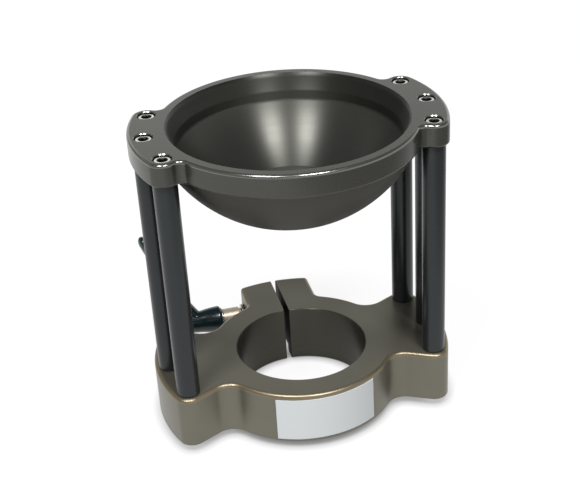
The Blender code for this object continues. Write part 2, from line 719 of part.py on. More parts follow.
def make_label(finish):
    """Build the thin blank label that wraps the front of the base."""
    back = BASE_RING_RADIUS + LABEL_BACK
    face = back + LABEL_THICKNESS
    middle = (LABEL_START + LABEL_END) / 2
    loops = []
    for i in range(LABEL_STEPS + 1):
        angle = LABEL_START + (LABEL_END - LABEL_START) * i / LABEL_STEPS
        outwards = Vector((math.sin(angle), -math.cos(angle), 0))
        centre_z = LABEL_MIDDLE_Z + (angle - middle) * BASE_RING_RADIUS * LABEL_SLOPE
        low = Vector((0, 0, centre_z - LABEL_HEIGHT / 2))
        high = Vector((0, 0, centre_z + LABEL_HEIGHT / 2))
        inner = outwards * back
        outer = outwards * face
        loops.append([inner + low, outer + low, outer + high, inner + high])
    add_object("label", loft(loops), finish)


def add_empty(name, matrix):
    """Make an empty with the given place and turn."""
    item = bpy.data.objects.new(name, None)
    bpy.context.collection.objects.link(item)
    item.matrix_basis = matrix
    return item


def main():
    """Build every piece of the adapter."""
    clear_scene()
    top_finish = make_finish("dark_bronze_anodised_plate", (0.085, 0.082, 0.072), 0.42, 0.75)
    base_finish = make_finish("dark_bronze_anodised_base", (0.100, 0.092, 0.075), 0.42, 0.75)
    column_finish = make_finish("dark_anodised_column", (0.050, 0.056, 0.058), 0.36, 0.75)
    screw_finish = make_finish("stainless_screw", (0.55, 0.54, 0.50), 0.28, 1.0)
    steel_finish = make_finish("plated_steel", (0.50, 0.49, 0.46), 0.30, 1.0)
    sleeve_finish = make_finish("turned_sleeve", (0.52, 0.45, 0.36), 0.33, 1.0)
    handle_finish = make_finish("black_lever", (0.012, 0.016, 0.017), 0.24, 0.0)
    label_finish = make_finish("label_film", (0.66, 0.68, 0.72), 0.40, 0.0)
    outwards = Matrix.Rotation(-math.pi / 2, 4, "Y")
    axis_place = Matrix.Translation((0, CLAMP_Y, CLAMP_Z))
    pivot_place = Matrix.Translation((-HUB_FOOT, CLAMP_Y, CLAMP_Z))
    axis = add_empty("clamp_axis", axis_place @ outwards)
    pivot = add_empty("lever_pivot", pivot_place @ Matrix.Rotation(-LEVER_TILT, 4, "X") @ outwards)
    make_bowl_plate(top_finish)
    make_base_clamp(base_finish)
    make_columns(column_finish, screw_finish)
    make_clamp_screw(steel_finish, sleeve_finish, axis, pivot)
    make_lever(handle_finish, steel_finish, pivot)
    make_label(label_finish)


main()
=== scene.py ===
"""Half ball adapter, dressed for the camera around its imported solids.

Each sub-assembly is a class with its sizes in metres, and each finish is a
frozen dataclass. The pieces are modelled at the places the solids have, and
ride on the bodies the solids ride on.
"""

import json
import logging
import math
from contextlib import contextmanager
from dataclasses import dataclass, field
from enum import Enum
from typing import Callable, Iterator, Sequence

import bmesh
import bpy
from mathutils import Matrix, Vector

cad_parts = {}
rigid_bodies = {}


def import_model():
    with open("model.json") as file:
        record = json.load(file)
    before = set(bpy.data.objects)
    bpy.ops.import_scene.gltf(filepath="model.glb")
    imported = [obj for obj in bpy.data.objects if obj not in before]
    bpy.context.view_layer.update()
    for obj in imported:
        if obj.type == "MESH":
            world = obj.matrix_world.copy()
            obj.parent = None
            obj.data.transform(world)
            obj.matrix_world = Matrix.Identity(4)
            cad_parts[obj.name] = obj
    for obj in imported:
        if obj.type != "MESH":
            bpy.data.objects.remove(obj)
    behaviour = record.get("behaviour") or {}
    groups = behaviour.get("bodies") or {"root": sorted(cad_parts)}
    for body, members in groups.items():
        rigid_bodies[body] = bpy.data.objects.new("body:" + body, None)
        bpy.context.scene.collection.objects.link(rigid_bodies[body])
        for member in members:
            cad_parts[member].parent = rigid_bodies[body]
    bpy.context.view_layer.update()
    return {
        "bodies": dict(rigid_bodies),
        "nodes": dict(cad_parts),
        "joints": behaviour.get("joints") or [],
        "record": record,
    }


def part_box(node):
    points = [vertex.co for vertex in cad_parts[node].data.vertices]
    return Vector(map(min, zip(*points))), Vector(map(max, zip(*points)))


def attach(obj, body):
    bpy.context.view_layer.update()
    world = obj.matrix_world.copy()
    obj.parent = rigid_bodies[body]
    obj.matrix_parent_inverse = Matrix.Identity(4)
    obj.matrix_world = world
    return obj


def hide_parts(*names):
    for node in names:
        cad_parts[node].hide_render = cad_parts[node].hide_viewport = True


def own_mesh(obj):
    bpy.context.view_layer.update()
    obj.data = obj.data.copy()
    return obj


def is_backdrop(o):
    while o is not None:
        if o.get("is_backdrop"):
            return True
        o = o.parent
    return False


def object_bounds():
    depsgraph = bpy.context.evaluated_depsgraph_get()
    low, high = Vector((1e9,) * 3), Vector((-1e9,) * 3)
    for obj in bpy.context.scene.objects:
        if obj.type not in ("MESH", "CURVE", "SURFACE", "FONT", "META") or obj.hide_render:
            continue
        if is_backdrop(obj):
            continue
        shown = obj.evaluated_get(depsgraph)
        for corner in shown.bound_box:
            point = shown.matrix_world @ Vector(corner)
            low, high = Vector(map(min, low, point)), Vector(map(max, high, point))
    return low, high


MM = 0.001
TURN = 2 * math.pi
MERGE = 0.002 * MM
NEAR = 0.01 * MM
CUT_REACH = 5.0 * MM
GAP = 0.3 * MM
ROUND_STEPS = 180
FINE_STEPS = 96
SMALL_STEPS = 48
SMOOTH_ANGLE = math.radians(30)
HEX_FLAT = math.cos(math.pi / 6)
# A noise texture hardly leaves this range
NOISE_LOW = 0.3
NOISE_HIGH = 0.7
# A face counts as square to an axis when its normal's share along the axis is above this
SQUARE = 0.9
LOG = logging.getLogger("half_ball_adapter")

Point = tuple[float, float]
Piece = bpy.types.Object
Polygon = bpy.types.MeshPolygon
Vertex = bpy.types.MeshVertex
Material = bpy.types.Material
Tree = bpy.types.NodeTree
Socket = bpy.types.NodeSocket
FacesInFinish = tuple[Material, Callable[[Polygon], bool]]


class Element(Enum):
    """What edit mode selects."""

    VERTICES = "VERT"
    EDGES = "EDGE"
    FACES = "FACE"


class Side(Enum):
    """The two sides that carry columns, as signs of X."""

    LEFT = -1
    RIGHT = 1


class Row(Enum):
    """The three columns of a side, as steps round the screw circle."""

    FRONT = -1
    MIDDLE = 0
    REAR = 1


# Modelling helpers


def deselect_everything() -> None:
    """Leave edit mode and clear the selection of every object."""
    if bpy.context.object and bpy.context.object.mode != "OBJECT":
        bpy.ops.object.mode_set(mode="OBJECT")
    bpy.ops.object.select_all(action="DESELECT")


def make_active(piece: Piece) -> None:
    """Select one object alone and make it the active one.

    Args:
        piece: The object that the next operators act on.
    """
    deselect_everything()
    piece.select_set(True)
    bpy.context.view_layer.objects.active = piece


@contextmanager
def editing(piece: Piece, element: Element) -> Iterator[bmesh.types.BMesh]:
    """Open a piece in edit mode with nothing selected, and close it afterwards.

    Args:
        piece: The object to edit.
        element: What is to be selected in it.

    Yields:
        The mesh under edit.
    """
    make_active(piece)
    bpy.ops.object.mode_set(mode="EDIT")
    bpy.ops.mesh.select_mode(type=element.value)
    bpy.ops.mesh.select_all(action="DESELECT")
    yield bmesh.from_edit_mesh(piece.data)
    bpy.ops.object.mode_set(mode="OBJECT")


def pick(piece: Piece, items: Sequence, test: Callable[[object], bool]) -> None:
    """Select the elements of an open mesh that pass a test.

    Args:
        piece: The object in edit mode.
        items: Its vertices, edges or faces.
        test: Says of an element whether it is selected.
    """
    for item in filter(test, items):
        item.select_set(True)
    bmesh.update_edit_mesh(piece.data)


def settle(piece: Piece, place: Matrix) -> Piece:
    """Move a finished piece to its place, which goes into its mesh.

    Args:
        piece: The object, modelled about its own axis.
        place: The matrix from there to the adapter's frame.

    Returns:
        The same object, at the origin and unturned.
    """
    piece.data.transform(place @ piece.matrix_basis)
    piece.matrix_basis = Matrix.Identity(4)
    return piece


def apply_modifier(piece: Piece, kind: str, **values: object) -> None:
    """Add a modifier to a piece and apply it.

    Args:
        piece: The object to change.
        kind: Blender's name for the modifier.
        **values: The modifier's settings.
    """
    make_active(piece)
    modifier = piece.modifiers.new(kind.lower(), kind)
    for name, value in values.items():
        setattr(modifier, name, value)
    bpy.ops.object.modifier_apply(modifier=modifier.name)


def boolean(piece: Piece, tool: Piece, operation: str) -> None:
    """Join a tool to a piece or cut it away, and remove the tool.

    Args:
        piece: The object that stays.
        tool: The object that is used up.
        operation: UNION or DIFFERENCE.
    """
    apply_modifier(piece, "BOOLEAN", object=tool, operation=operation, solver="EXACT")
    bpy.data.objects.remove(tool, do_unlink=True)


def added(name: str, operator: Callable, **settings: object) -> Piece:
    """Add a primitive.

    Args:
        name: The new object's name.
        operator: The operator that adds it.
        **settings: The operator's settings.

    Returns:
        The new object.
    """
    deselect_everything()
    operator(**settings)
    piece = bpy.context.object
    piece.name = name
    return piece


def loop_through(name: str, corners: Sequence[tuple[float, float, float]], fill: str) -> Piece:
    """Add a closed loop of edges.

    Args:
        name: The new object's name.
        corners: The (x, y, z) of each corner, in order.
        fill: NGON for a face in the loop, NOTHING for none.

    Returns:
        The new object.
    """
    piece = added(name, bpy.ops.mesh.primitive_circle_add, vertices=len(corners), radius=1.0, fill_type=fill)
    piece.data.vertices.foreach_set("co", [value for corner in corners for value in corner])
    return piece


def cylinder(name: str, sides: int, radius: float, low: float, high: float) -> Piece:
    """Add a bar about Z.

    Args:
        name: The new object's name.
        sides: How many sides it has.
        radius: From the axis to its corners.
        low: Height of its foot.
        high: Height of its head.

    Returns:
        The closed object.
    """
    size = {"vertices": sides, "radius": radius, "depth": high - low, "location": (0, 0, (low + high) / 2)}
    return settle(added(name, bpy.ops.mesh.primitive_cylinder_add, **size), Matrix.Identity(4))


def extrude(rise: float) -> None:
    """Extrude the selected faces along Z."""
    bpy.ops.mesh.extrude_region_move(TRANSFORM_OT_translate={"value": (0, 0, rise)})


def face_outwards() -> None:
    """Select the whole mesh under edit and point its faces outwards."""
    bpy.ops.mesh.select_all(action="SELECT")
    bpy.ops.mesh.normals_make_consistent(inside=False)


def draw_in(vertex: Vertex, share: float) -> None:
    """Move a vertex towards or away from the Z axis by a share."""
    vertex.co.x *= share
    vertex.co.y *= share


def level_face(height: float) -> Callable[[bmesh.types.BMFace], bool]:
    """Return a test for faces that lie at a height."""
    return lambda face: all(abs(vertex.co.z - height) < MERGE for vertex in face.verts)


def spun(name: str, section: Sequence[Point], steps: int = ROUND_STEPS) -> Piece:
    """Turn a closed section about Z, as on a lathe.

    Args:
        name: The new object's name.
        section: (radius, height) corners of the section, in order.
        steps: How many steps make the full turn.

    Returns:
        A closed object about the Z axis.
    """
    piece = loop_through(name, [(radius, 0.0, height) for radius, height in section], "NOTHING")
    with editing(piece, Element.VERTICES):
        bpy.ops.mesh.select_all(action="SELECT")
        bpy.ops.mesh.spin(steps=steps, angle=TURN, center=(0, 0, 0), axis=(0, 0, 1))
        bpy.ops.mesh.select_all(action="SELECT")
        bpy.ops.mesh.remove_doubles(threshold=MERGE)
        face_outwards()
    return piece


def stepped_bar(name: str, low: float, *parts: Point) -> Piece:
    """Turn a bar of several radii.

    Args:
        name: The new object's name.
        low: Height of its foot.
        *parts: The radius of each part and the height that it reaches, from below.

    Returns:
        The closed object about Z.
    """
    section = [(0.0, low)]
    for radius, high in parts:
        section += [(radius, low), (radius, high)]
        low = high
    return spun(name, [*section, (0.0, low)], SMALL_STEPS)


def prism(name: str, outline: Sequence[Point], low: float, high: float) -> Piece:
    """Raise a flat outline to a plate with square edges.

    Args:
        name: The new object's name.
        outline: (x, y) corners, counter-clockwise.
        low: Height of the underside.
        high: Height of the top face.

    Returns:
        A closed object.
    """
    piece = loop_through(name, [(x, y, low) for x, y in outline], "NGON")
    with editing(piece, Element.FACES):
        bpy.ops.mesh.select_all(action="SELECT")
        extrude(high - low)
        face_outwards()
    return piece


def bevel_edges(
    piece: Piece, test: Callable[[bmesh.types.BMEdge], bool], width: float, segments: int
) -> None:
    """Round the edges of a piece that pass a test.

    Args:
        piece: The object to change.
        test: Says of an edge whether it is rounded.
        width: How far the rounding reaches from the edge.
        segments: How many facets the rounding has.
    """
    with editing(piece, Element.EDGES) as mesh:
        pick(piece, mesh.edges, test)
        bpy.ops.mesh.bevel(offset=width, segments=segments, affect="EDGES", clamp_overlap=False)


def at_height(height: float) -> Callable[[bmesh.types.BMEdge], bool]:
    """Return a test for edges that lie level at a height."""
    return lambda edge: all(abs(vertex.co.z - height) < NEAR for vertex in edge.verts)


def softened(section: Sequence[tuple[float, float, float]], steps: int = 4) -> list[Point]:
    """Round the corners of a lathe section.

    Args:
        section: (radius, height, rounding) corners in order, with rounding 0 where sharp.
        steps: How many facets each rounding has.

    Returns:
        The (radius, height) points of the rounded section.
    """
    points = []
    count = len(section)
    for i, (radius, height, rounding) in enumerate(section):
        corner = Vector((radius, height))
        if rounding <= 0:
            points.append((radius, height))
            continue
        before = (Vector(section[i - 1][:2]) - corner).normalized()
        after = (Vector(section[(i + 1) % count][:2]) - corner).normalized()
        half = before.angle(after) / 2
        reach = rounding / math.tan(half)
        centre = corner + (before + after).normalized() * (rounding / math.sin(half))
        start = corner + before * reach - centre
        end = corner + after * reach - centre
        first = math.atan2(start.y, start.x)
        swing = (math.atan2(end.y, end.x) - first + math.pi) % TURN - math.pi
        for k in range(steps + 1):
            angle = first + swing * k / steps
            points.append((centre.x + rounding * math.cos(angle), centre.y + rounding * math.sin(angle)))
    return points


def smooth(piece: Piece) -> None:
    """Shade a piece smooth, with its flats kept flat up to their rounded edges.

    Args:
        piece: The object to shade.
    """
    make_active(piece)
    bpy.ops.object.shade_smooth_by_angle(angle=SMOOTH_ANGLE)
    apply_modifier(piece, "WEIGHTED_NORMAL", keep_sharp=True, weight=50)


def dress(
    piece: Piece, finish: Material, others: Sequence[FacesInFinish] = ()
) -> None:
    """Give a piece its finish, and other finishes to the faces that pass a test.

    Args:
        piece: The object to dress.
        finish: The finish of all its faces.
        others: Pairs of a finish and a test of the faces that take it.
    """
    piece.data.materials.clear()
    piece.data.materials.append(finish)
    for polygon in piece.data.polygons:
        polygon.material_index = 0
    for index, (other, test) in enumerate(others, start=1):
        piece.data.materials.append(other)
        for polygon in piece.data.polygons:
            if test(polygon):
                polygon.material_index = index


def hand_over(piece: Piece, body: str, node: str, slot: str) -> None:
    """Fix a finished piece on its body in place of its solid, and report it.

    Args:
        piece: The finished object.
        body: The body that carries it.
        node: The solid that it stands for.
        slot: Not used.
    """
    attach(piece, body)
    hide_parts(node)
    LOG.info("%s: %d faces, on %s", piece.name, len(piece.data.polygons), body)


def complete(
    piece: Piece,
    finish: Material,
    home: tuple[str, str, str],
    others: Sequence[FacesInFinish] = (),
) -> None:
    """Smooth, dress and hand over a piece.

    Args:
        piece: The finished object, in its place.
        finish: The finish of all its faces.
        home: The body that carries it, the solid that it stands for and a slot name.
        others: Pairs of a finish and a test of the faces that take it.
    """
    smooth(piece)
    dress(piece, finish, others)
    hand_over(piece, *home)


# Finishes


def linear(code: str) -> tuple[float, float, float, float]:
    """Turn an sRGB hex colour to linear light.

    Args:
        code: Six hex digits.

    Returns:
        Red, green, blue and an alpha of one.
    """
    shares = [int(code[i:i + 2], 16) / 255 for i in (0, 2, 4)]
    channels = [c / 12.92 if c <= 0.04045 else ((c + 0.055) / 1.055) ** 2.4 for c in shares]
    return (*channels, 1.0)


def per_metre(spacing_mm: float) -> float:
    """Return the texture scale that repeats at a spacing in millimetres."""
    return 1.0 / (spacing_mm * MM)


def add_node(tree: Tree, kind: str, settings: dict, links: dict) -> bpy.types.Node:
    """Add a node with its settings and links.

    Args:
        tree: The node tree.
        kind: The node's type.
        settings: Values of properties and of sockets, by name or by number.
        links: The output that feeds each named or numbered input.

    Returns:
        The new node.
    """
    node = tree.nodes.new(kind)
    for key, value in settings.items():
        if isinstance(key, str) and hasattr(node, key):
            setattr(node, key, value)
        else:
            node.inputs[key].default_value = value
    for key, source in links.items():
        tree.links.new(source, node.inputs[key])
    return node


def mapped(tree: Tree, value: Socket, settings: dict) -> Socket:
    """Return a value mapped to another range, with the settings by the node's own names."""
    return add_node(tree, "ShaderNodeMapRange", settings, {"Value": value}).outputs["Result"]


def maths(tree: Tree, operation: str, *values: Socket) -> Socket:
    """Return the outcome of an operation on two values."""
    return add_node(tree, "ShaderNodeMath", {"operation": operation}, dict(enumerate(values))).outputs[0]


@dataclass
class Draft:
    """A material in the making, with the coordinates that its patterns are laid out by."""

    tree: Tree
    shader: bpy.types.Node
    place: Socket

    def feed(self, name: str, source: Socket) -> None:
        """Link an output to one of the shader's inputs."""
        self.tree.links.new(source, self.shader.inputs[name])

    def noise(self, place: Socket, spacing_mm: float, **settings: float) -> Socket:
        """Return a noise from zero to one, laid out at a spacing."""
        scaled = {"Scale": per_metre(spacing_mm), **settings}
        return add_node(self.tree, "ShaderNodeTexNoise", scaled, {"Vector": place}).outputs["Fac"]

    def tone(self, first: str, second: str, share: Socket) -> None:
        """Colour the surface between two hex colours."""
        colours = {"data_type": "RGBA", 6: linear(first), 7: linear(second)}
        self.feed("Base Color", add_node(self.tree, "ShaderNodeMix", colours, {0: share}).outputs[2])

    def gloss(self, middle: float, spread: float, marks: Socket) -> None:
        """Let the roughness wander round its middle value with the marks."""
        ends = {"From Min": NOISE_LOW, "From Max": NOISE_HIGH, "To Min": middle - spread, "To Max": middle + spread}
        self.feed("Roughness", mapped(self.tree, marks, ends))

    def dent(self, marks: Socket, depth_mm: float, strength: float) -> None:
        """Sink the marks into the surface."""
        depth = {"Strength": strength, "Distance": depth_mm * MM}
        self.feed("Normal", add_node(self.tree, "ShaderNodeBump", depth, {"Height": marks}).outputs["Normal"])


@dataclass(frozen=True)
class Finish:
    """A surface finish: its name and colour, and how rough, metallic and glossy it is."""

    name: str
    colour: str
    roughness: float
    metallic: float
    specular: float = 0.5
    # Below one, the surface brightens less towards its outline
    edge_tint: float = 1.0

    def draw(self, draft: Draft) -> None:
        """Add the pattern of this kind of finish, of which a plain one has none."""

    def make(self) -> Material:
        """Make the material, with the plain values here and then its kind's pattern.

        Returns:
            The new material.
        """
        material = bpy.data.materials.new(self.name)
        material.use_nodes = True
        material.diffuse_color = linear(self.colour)
        tree = material.node_tree
        shader = tree.nodes["Principled BSDF"]
        values = {
            "Base Color": linear(self.colour),
            "Roughness": self.roughness,
            "Metallic": self.metallic,
            "Specular IOR Level": self.specular,
            "Specular Tint": (*[self.edge_tint] * 3, 1.0),
        }
        for name, value in values.items():
            shader.inputs[name].default_value = value
        self.draw(Draft(tree, shader, add_node(tree, "ShaderNodeTexCoord", {}, {}).outputs["Object"]))
        return material


@dataclass(frozen=True)
class BlastedAnodising(Finish):
    """Aluminium, bead blasted and then anodised: satin oxide over fine dimples, dyed unevenly."""

    clouded: str = "555049"
    cloud_mm: float = 38.0
    # Blasting leaves dimples of about 0.1 mm, drawn coarser here so that they show
    grain_mm: float = 0.45
    grain_depth_mm: float = 0.008
    roughness_spread: float = 0.035
    relief: float = 0.5

    def draw(self, draft: Draft) -> None:
        """Draw the clouded dye and the dimples.

        Args:
            draft: The material in the making.
        """
        draft.tone(self.colour, self.clouded, draft.noise(draft.place, self.cloud_mm, Detail=4.0, Roughness=0.55))
        grain = draft.noise(draft.place, self.grain_mm, Detail=2.0, Roughness=0.6)
        draft.gloss(self.roughness, self.roughness_spread, grain)
        draft.dent(grain, self.grain_depth_mm, self.relief)


@dataclass(frozen=True)
class TurnedAnodising(Finish):
    """Aluminium left as turned and then anodised: fine rings round the axis draw highlights out."""

    ring_colour: str = "4A4640"
    # The feed marks of a finishing cut are about 0.1 mm apart, drawn coarser so that they show
    ring_mm: float = 0.55
    ring_depth_mm: float = 0.006
    anisotropy: float = 0.88
    # The grooves run round the axis, and a highlight is drawn out across them
    across: float = 0.25
    roughness_spread: float = 0.04
    relief: float = 0.4

    def draw(self, draft: Draft) -> None:
        """Draw rings that depend only on radius and height.

        Args:
            draft: The material in the making.
        """
        tree, inputs = draft.tree, draft.shader.inputs
        inputs["Anisotropic"].default_value = self.anisotropy
        inputs["Anisotropic Rotation"].default_value = self.across
        parts = add_node(tree, "ShaderNodeSeparateXYZ", {}, {"Vector": draft.place}).outputs
        level = add_node(tree, "ShaderNodeCombineXYZ", {}, {"X": parts["X"], "Y": parts["Y"]}).outputs[0]
        radius = add_node(tree, "ShaderNodeVectorMath", {"operation": "LENGTH"}, {0: level}).outputs["Value"]
        section = add_node(tree, "ShaderNodeCombineXYZ", {}, {"X": radius, "Y": parts["Z"]}).outputs[0]
        rings = draft.noise(section, self.ring_mm, Detail=3.0, Roughness=0.7)
        draft.tone(self.colour, self.ring_colour, rings)
        draft.gloss(self.roughness, self.roughness_spread, rings)
        draft.dent(rings, self.ring_depth_mm, self.relief)
        around = add_node(tree, "ShaderNodeTangent", {"direction_type": "RADIAL", "axis": "Z"}, {})
        tree.links.new(around.outputs["Tangent"], inputs["Tangent"])


@dataclass(frozen=True)
class WorkedSteel(Finish):
    """Steel, headed or turned and then tumbled: bright, with fine scratches that blur it unevenly."""

    # Tumbling scratches are hair fine, drawn at a few tenths of a millimetre
    scratch_mm: float = 0.6
    scratch_depth_mm: float = 0.004
    roughness_spread: float = 0.08
    relief: float = 0.3

    def draw(self, draft: Draft) -> None:
        """Draw the scratches.

        Args:
            draft: The material in the making.
        """
        scratches = draft.noise(draft.place, self.scratch_mm, Detail=4.0, Roughness=0.7, Distortion=1.5)
        draft.gloss(self.roughness, self.roughness_spread, scratches)
        draft.dent(scratches, self.scratch_depth_mm, self.relief)


@dataclass(frozen=True)
class StovedLacquer(Finish):
    """Die-cast handle under stoved black lacquer: glossy, with a faint orange peel."""

    coat: float = 0.25
    coat_roughness: float = 0.08
    # Orange peel runs from one to three millimetres
    peel_mm: float = 2.2
    peel_depth_mm: float = 0.02
    relief: float = 0.25

    def draw(self, draft: Draft) -> None:
        """Draw the orange peel and the clear gloss.

        Args:
            draft: The material in the making.
        """
        draft.shader.inputs["Coat Weight"].default_value = self.coat
        draft.shader.inputs["Coat Roughness"].default_value = self.coat_roughness
        draft.dent(draft.noise(draft.place, self.peel_mm, Detail=2.0), self.peel_depth_mm, self.relief)


@dataclass(frozen=True)
class VinylFilm(Finish):
    """Vinyl film without print: pale and cool, satin, slightly uneven where it is stuck down."""

    # Air and glue lift the film in patches of several millimetres
    ripple_mm: float = 7.0
    ripple_depth_mm: float = 0.03
    relief: float = 0.3

    def draw(self, draft: Draft) -> None:
        """Draw the ripples."""
        draft.dent(draft.noise(draft.place, self.ripple_mm, Detail=2.0), self.ripple_depth_mm, self.relief)


class Look(Enum):
    """Every finish of the adapter."""

    PLATE = BlastedAnodising("anodised_aluminium_plate", "50504B", 0.27, 0.6, 0.4, clouded="4A4A45")
    # The cutter leaves the rounded edges smoother than the blasted faces; their lighter colour is a painted highlight,
    # on the edges and on the counterbores' chamfers
    EDGE = BlastedAnodising("anodised_aluminium_edge", "7C7B76", 0.18, 0.85, clouded="72716C", grain_depth_mm=0.0005)
    # The base's rounded top edge is coloured lighter and warmer than the base: a painted highlight
    ROUNDING = BlastedAnodising(
        "anodised_aluminium_base_edge", "887D69", 0.37, 0.8, clouded="7C725E", grain_depth_mm=0.002
    )
    # A narrow slit and a deep counterbore hold little light and look near black in the photograph,
    # so their walls are written that dark, though the real ones are anodised like the rest
    SUNK = BlastedAnodising("anodised_aluminium_recess", "171614", 0.5, 0.0, 0.1, clouded="121110")
    OUTSIDE = TurnedAnodising(
        "anodised_aluminium_turned_outside", "5B5A55", 0.42, 0.6, 0.4, 0.5, ring_colour="54534E"
    )
    SEAT = TurnedAnodising("anodised_aluminium_turned_seat", "454541", 0.39, 0.85, ring_colour="3C3C38")
    BOWL = TurnedAnodising(
        "anodised_aluminium_turned_bowl", "5A5A55", 0.38, 0.85, ring_colour="4C4C48", anisotropy=0.8
    )
    BASE = BlastedAnodising("anodised_aluminium_base", "7A776A", 0.38, 0.7, 0.4, clouded="6E6B60")
    BORE = TurnedAnodising("anodised_aluminium_bore", "4D4B41", 0.38, 0.5, ring_colour="403F37")
    COLUMN = BlastedAnodising("anodised_aluminium_column", "2E3233", 0.30, 0.4, clouded="292D2E")
    SCREW = WorkedSteel("stainless_steel_screw", "E9E7E1", 0.2, 1.0)
    # Keys are broached; the sockets' near black is partly their dark oil and scale and partly painted shade of the
    # deep socket
    SOCKET = WorkedSteel("oiled_screw_socket", "161514", 0.45, 0.5)
    PLATED = WorkedSteel("zinc_plated_steel", "BDBBB4", 0.3, 0.9)
    SLEEVE = WorkedSteel("turned_steel_sleeve", "C0B2A0", 0.42, 0.45)
    LEVER = StovedLacquer("black_lacquered_lever", "0E2226", 0.26, 0.0, 0.35)
    LABEL = VinylFilm("blank_vinyl_film", "ECF1F2", 0.38, 0.0)


Finishes = dict[Look, Material]


# Outlines


def polar(reach: float, angle: float) -> Point:
    """Return the (x, y) of a point at a distance and an angle from the axis."""
    return (reach * math.cos(angle), reach * math.sin(angle))


@dataclass(frozen=True)
class Arc:
    """A stretch of an outline: an arc about a centre, where a hollow arc bends inwards."""

    x: float
    y: float
    radius: float
    start: float
    end: float
    steps: int

    def points(self) -> list[Point]:
        """Return the (x, y) points along the arc, both ends included."""
        angles = [self.start + (self.end - self.start) * i / self.steps for i in range(self.steps + 1)]
        return [(self.x + self.radius * math.cos(a), self.y + self.radius * math.sin(a)) for a in angles]

    def across_x(self) -> "Arc":
        """Return the arc mirrored from +X to -X, run the other way."""
        return Arc(-self.x, self.y, self.radius, math.pi - self.end, math.pi - self.start, self.steps)

    def across_y(self) -> "Arc":
        """Return the arc mirrored from +Y to -Y, run the other way."""
        return Arc(self.x, -self.y, self.radius, -self.end, -self.start, self.steps)


def all_round(rear: Sequence[Arc], front: Sequence[Arc]) -> list[Point]:
    """Make a full outline from two quadrants that both run from +X to +Y.

    Args:
        rear: The arcs of the quadrant between +X and +Y.
        front: The arcs of the quadrant that is mirrored to -Y.

    Returns:
        The points of the closed outline, counter-clockwise, with none repeated.
    """
    rear_left = [arc.across_x() for arc in reversed(rear)]
    front_right = [arc.across_y() for arc in reversed(front)]
    front_left = [arc.across_x() for arc in reversed(front_right)]
    outline: list[Point] = []
    for arc in [*rear, *rear_left, *front_left, *front_right]:
        for point in arc.points():
            if not outline or math.dist(point, outline[-1]) > NEAR:
                outline.append(point)
    if math.dist(outline[0], outline[-1]) < NEAR:
        outline.pop()
    return outline


# Sub-assemblies


@dataclass(frozen=True)
class ScrewHole:
    """A screw hole with a chamfered counterbore for the head."""

    sink_depth: float
    sink_radius: float = 5.5 * MM
    sink_chamfer: float = 0.5 * MM
    screw_radius: float = 3.0 * MM

    def tool(self, mouth_z: float, far_z: float) -> Piece:
        """Make the tool that cuts the hole.

        Args:
            mouth_z: Height of the face that the head sinks into.
            far_z: Height of the face where the screw comes out.

        Returns:
            The closed tool about Z.
        """
        out = math.copysign(1.0, mouth_z - far_z)
        end_z = far_z - out * CUT_REACH
        floor_z = mouth_z - out * self.sink_depth
        open_z = mouth_z + out * CUT_REACH
        hole = self.screw_radius + GAP
        wide = self.sink_radius + self.sink_chamfer
        section = [
            (0.0, end_z),
            (hole, end_z),
            (hole, floor_z),
            (self.sink_radius, floor_z),
            (self.sink_radius, mouth_z - out * self.sink_chamfer),
            (wide, mouth_z),
            (wide, open_z),
            (0.0, open_z),
        ]
        return spun("screw_hole", section[::int(out)], SMALL_STEPS)


@dataclass
class ScrewPlaces:
    """The six places on the screw circle where columns and screws stand."""

    circle: float = 86.0 * MM
    spread: float = math.radians(22.0)

    def each(self) -> Iterator[tuple[str, Matrix]]:
        """Go through the places.

        Yields:
            The ending of the node's name, and the place.
        """
        for side in Side:
            for row in Row:
                angle = self.spread * row.value
                place = (side.value * self.circle * math.cos(angle), self.circle * math.sin(angle), 0.0)
                yield f"{side.name.lower()}_{row.name.lower()}", Matrix.Translation(place)


    def near(self, polygon: Polygon, reach: float) -> bool:
        """Say whether a face lies within a reach of a screw's axis."""
        return any((polygon.center.xy - place.translation.xy).length < reach for _, place in self.each())

    def drill(self, piece: Piece, hole: ScrewHole, mouth_z: float, far_z: float) -> None:
        """Cut the same hole at every place, sunk from one height and open at the other."""
        for _, place in self.each():
            boolean(piece, settle(hole.tool(mouth_z, far_z), place), "DIFFERENCE")


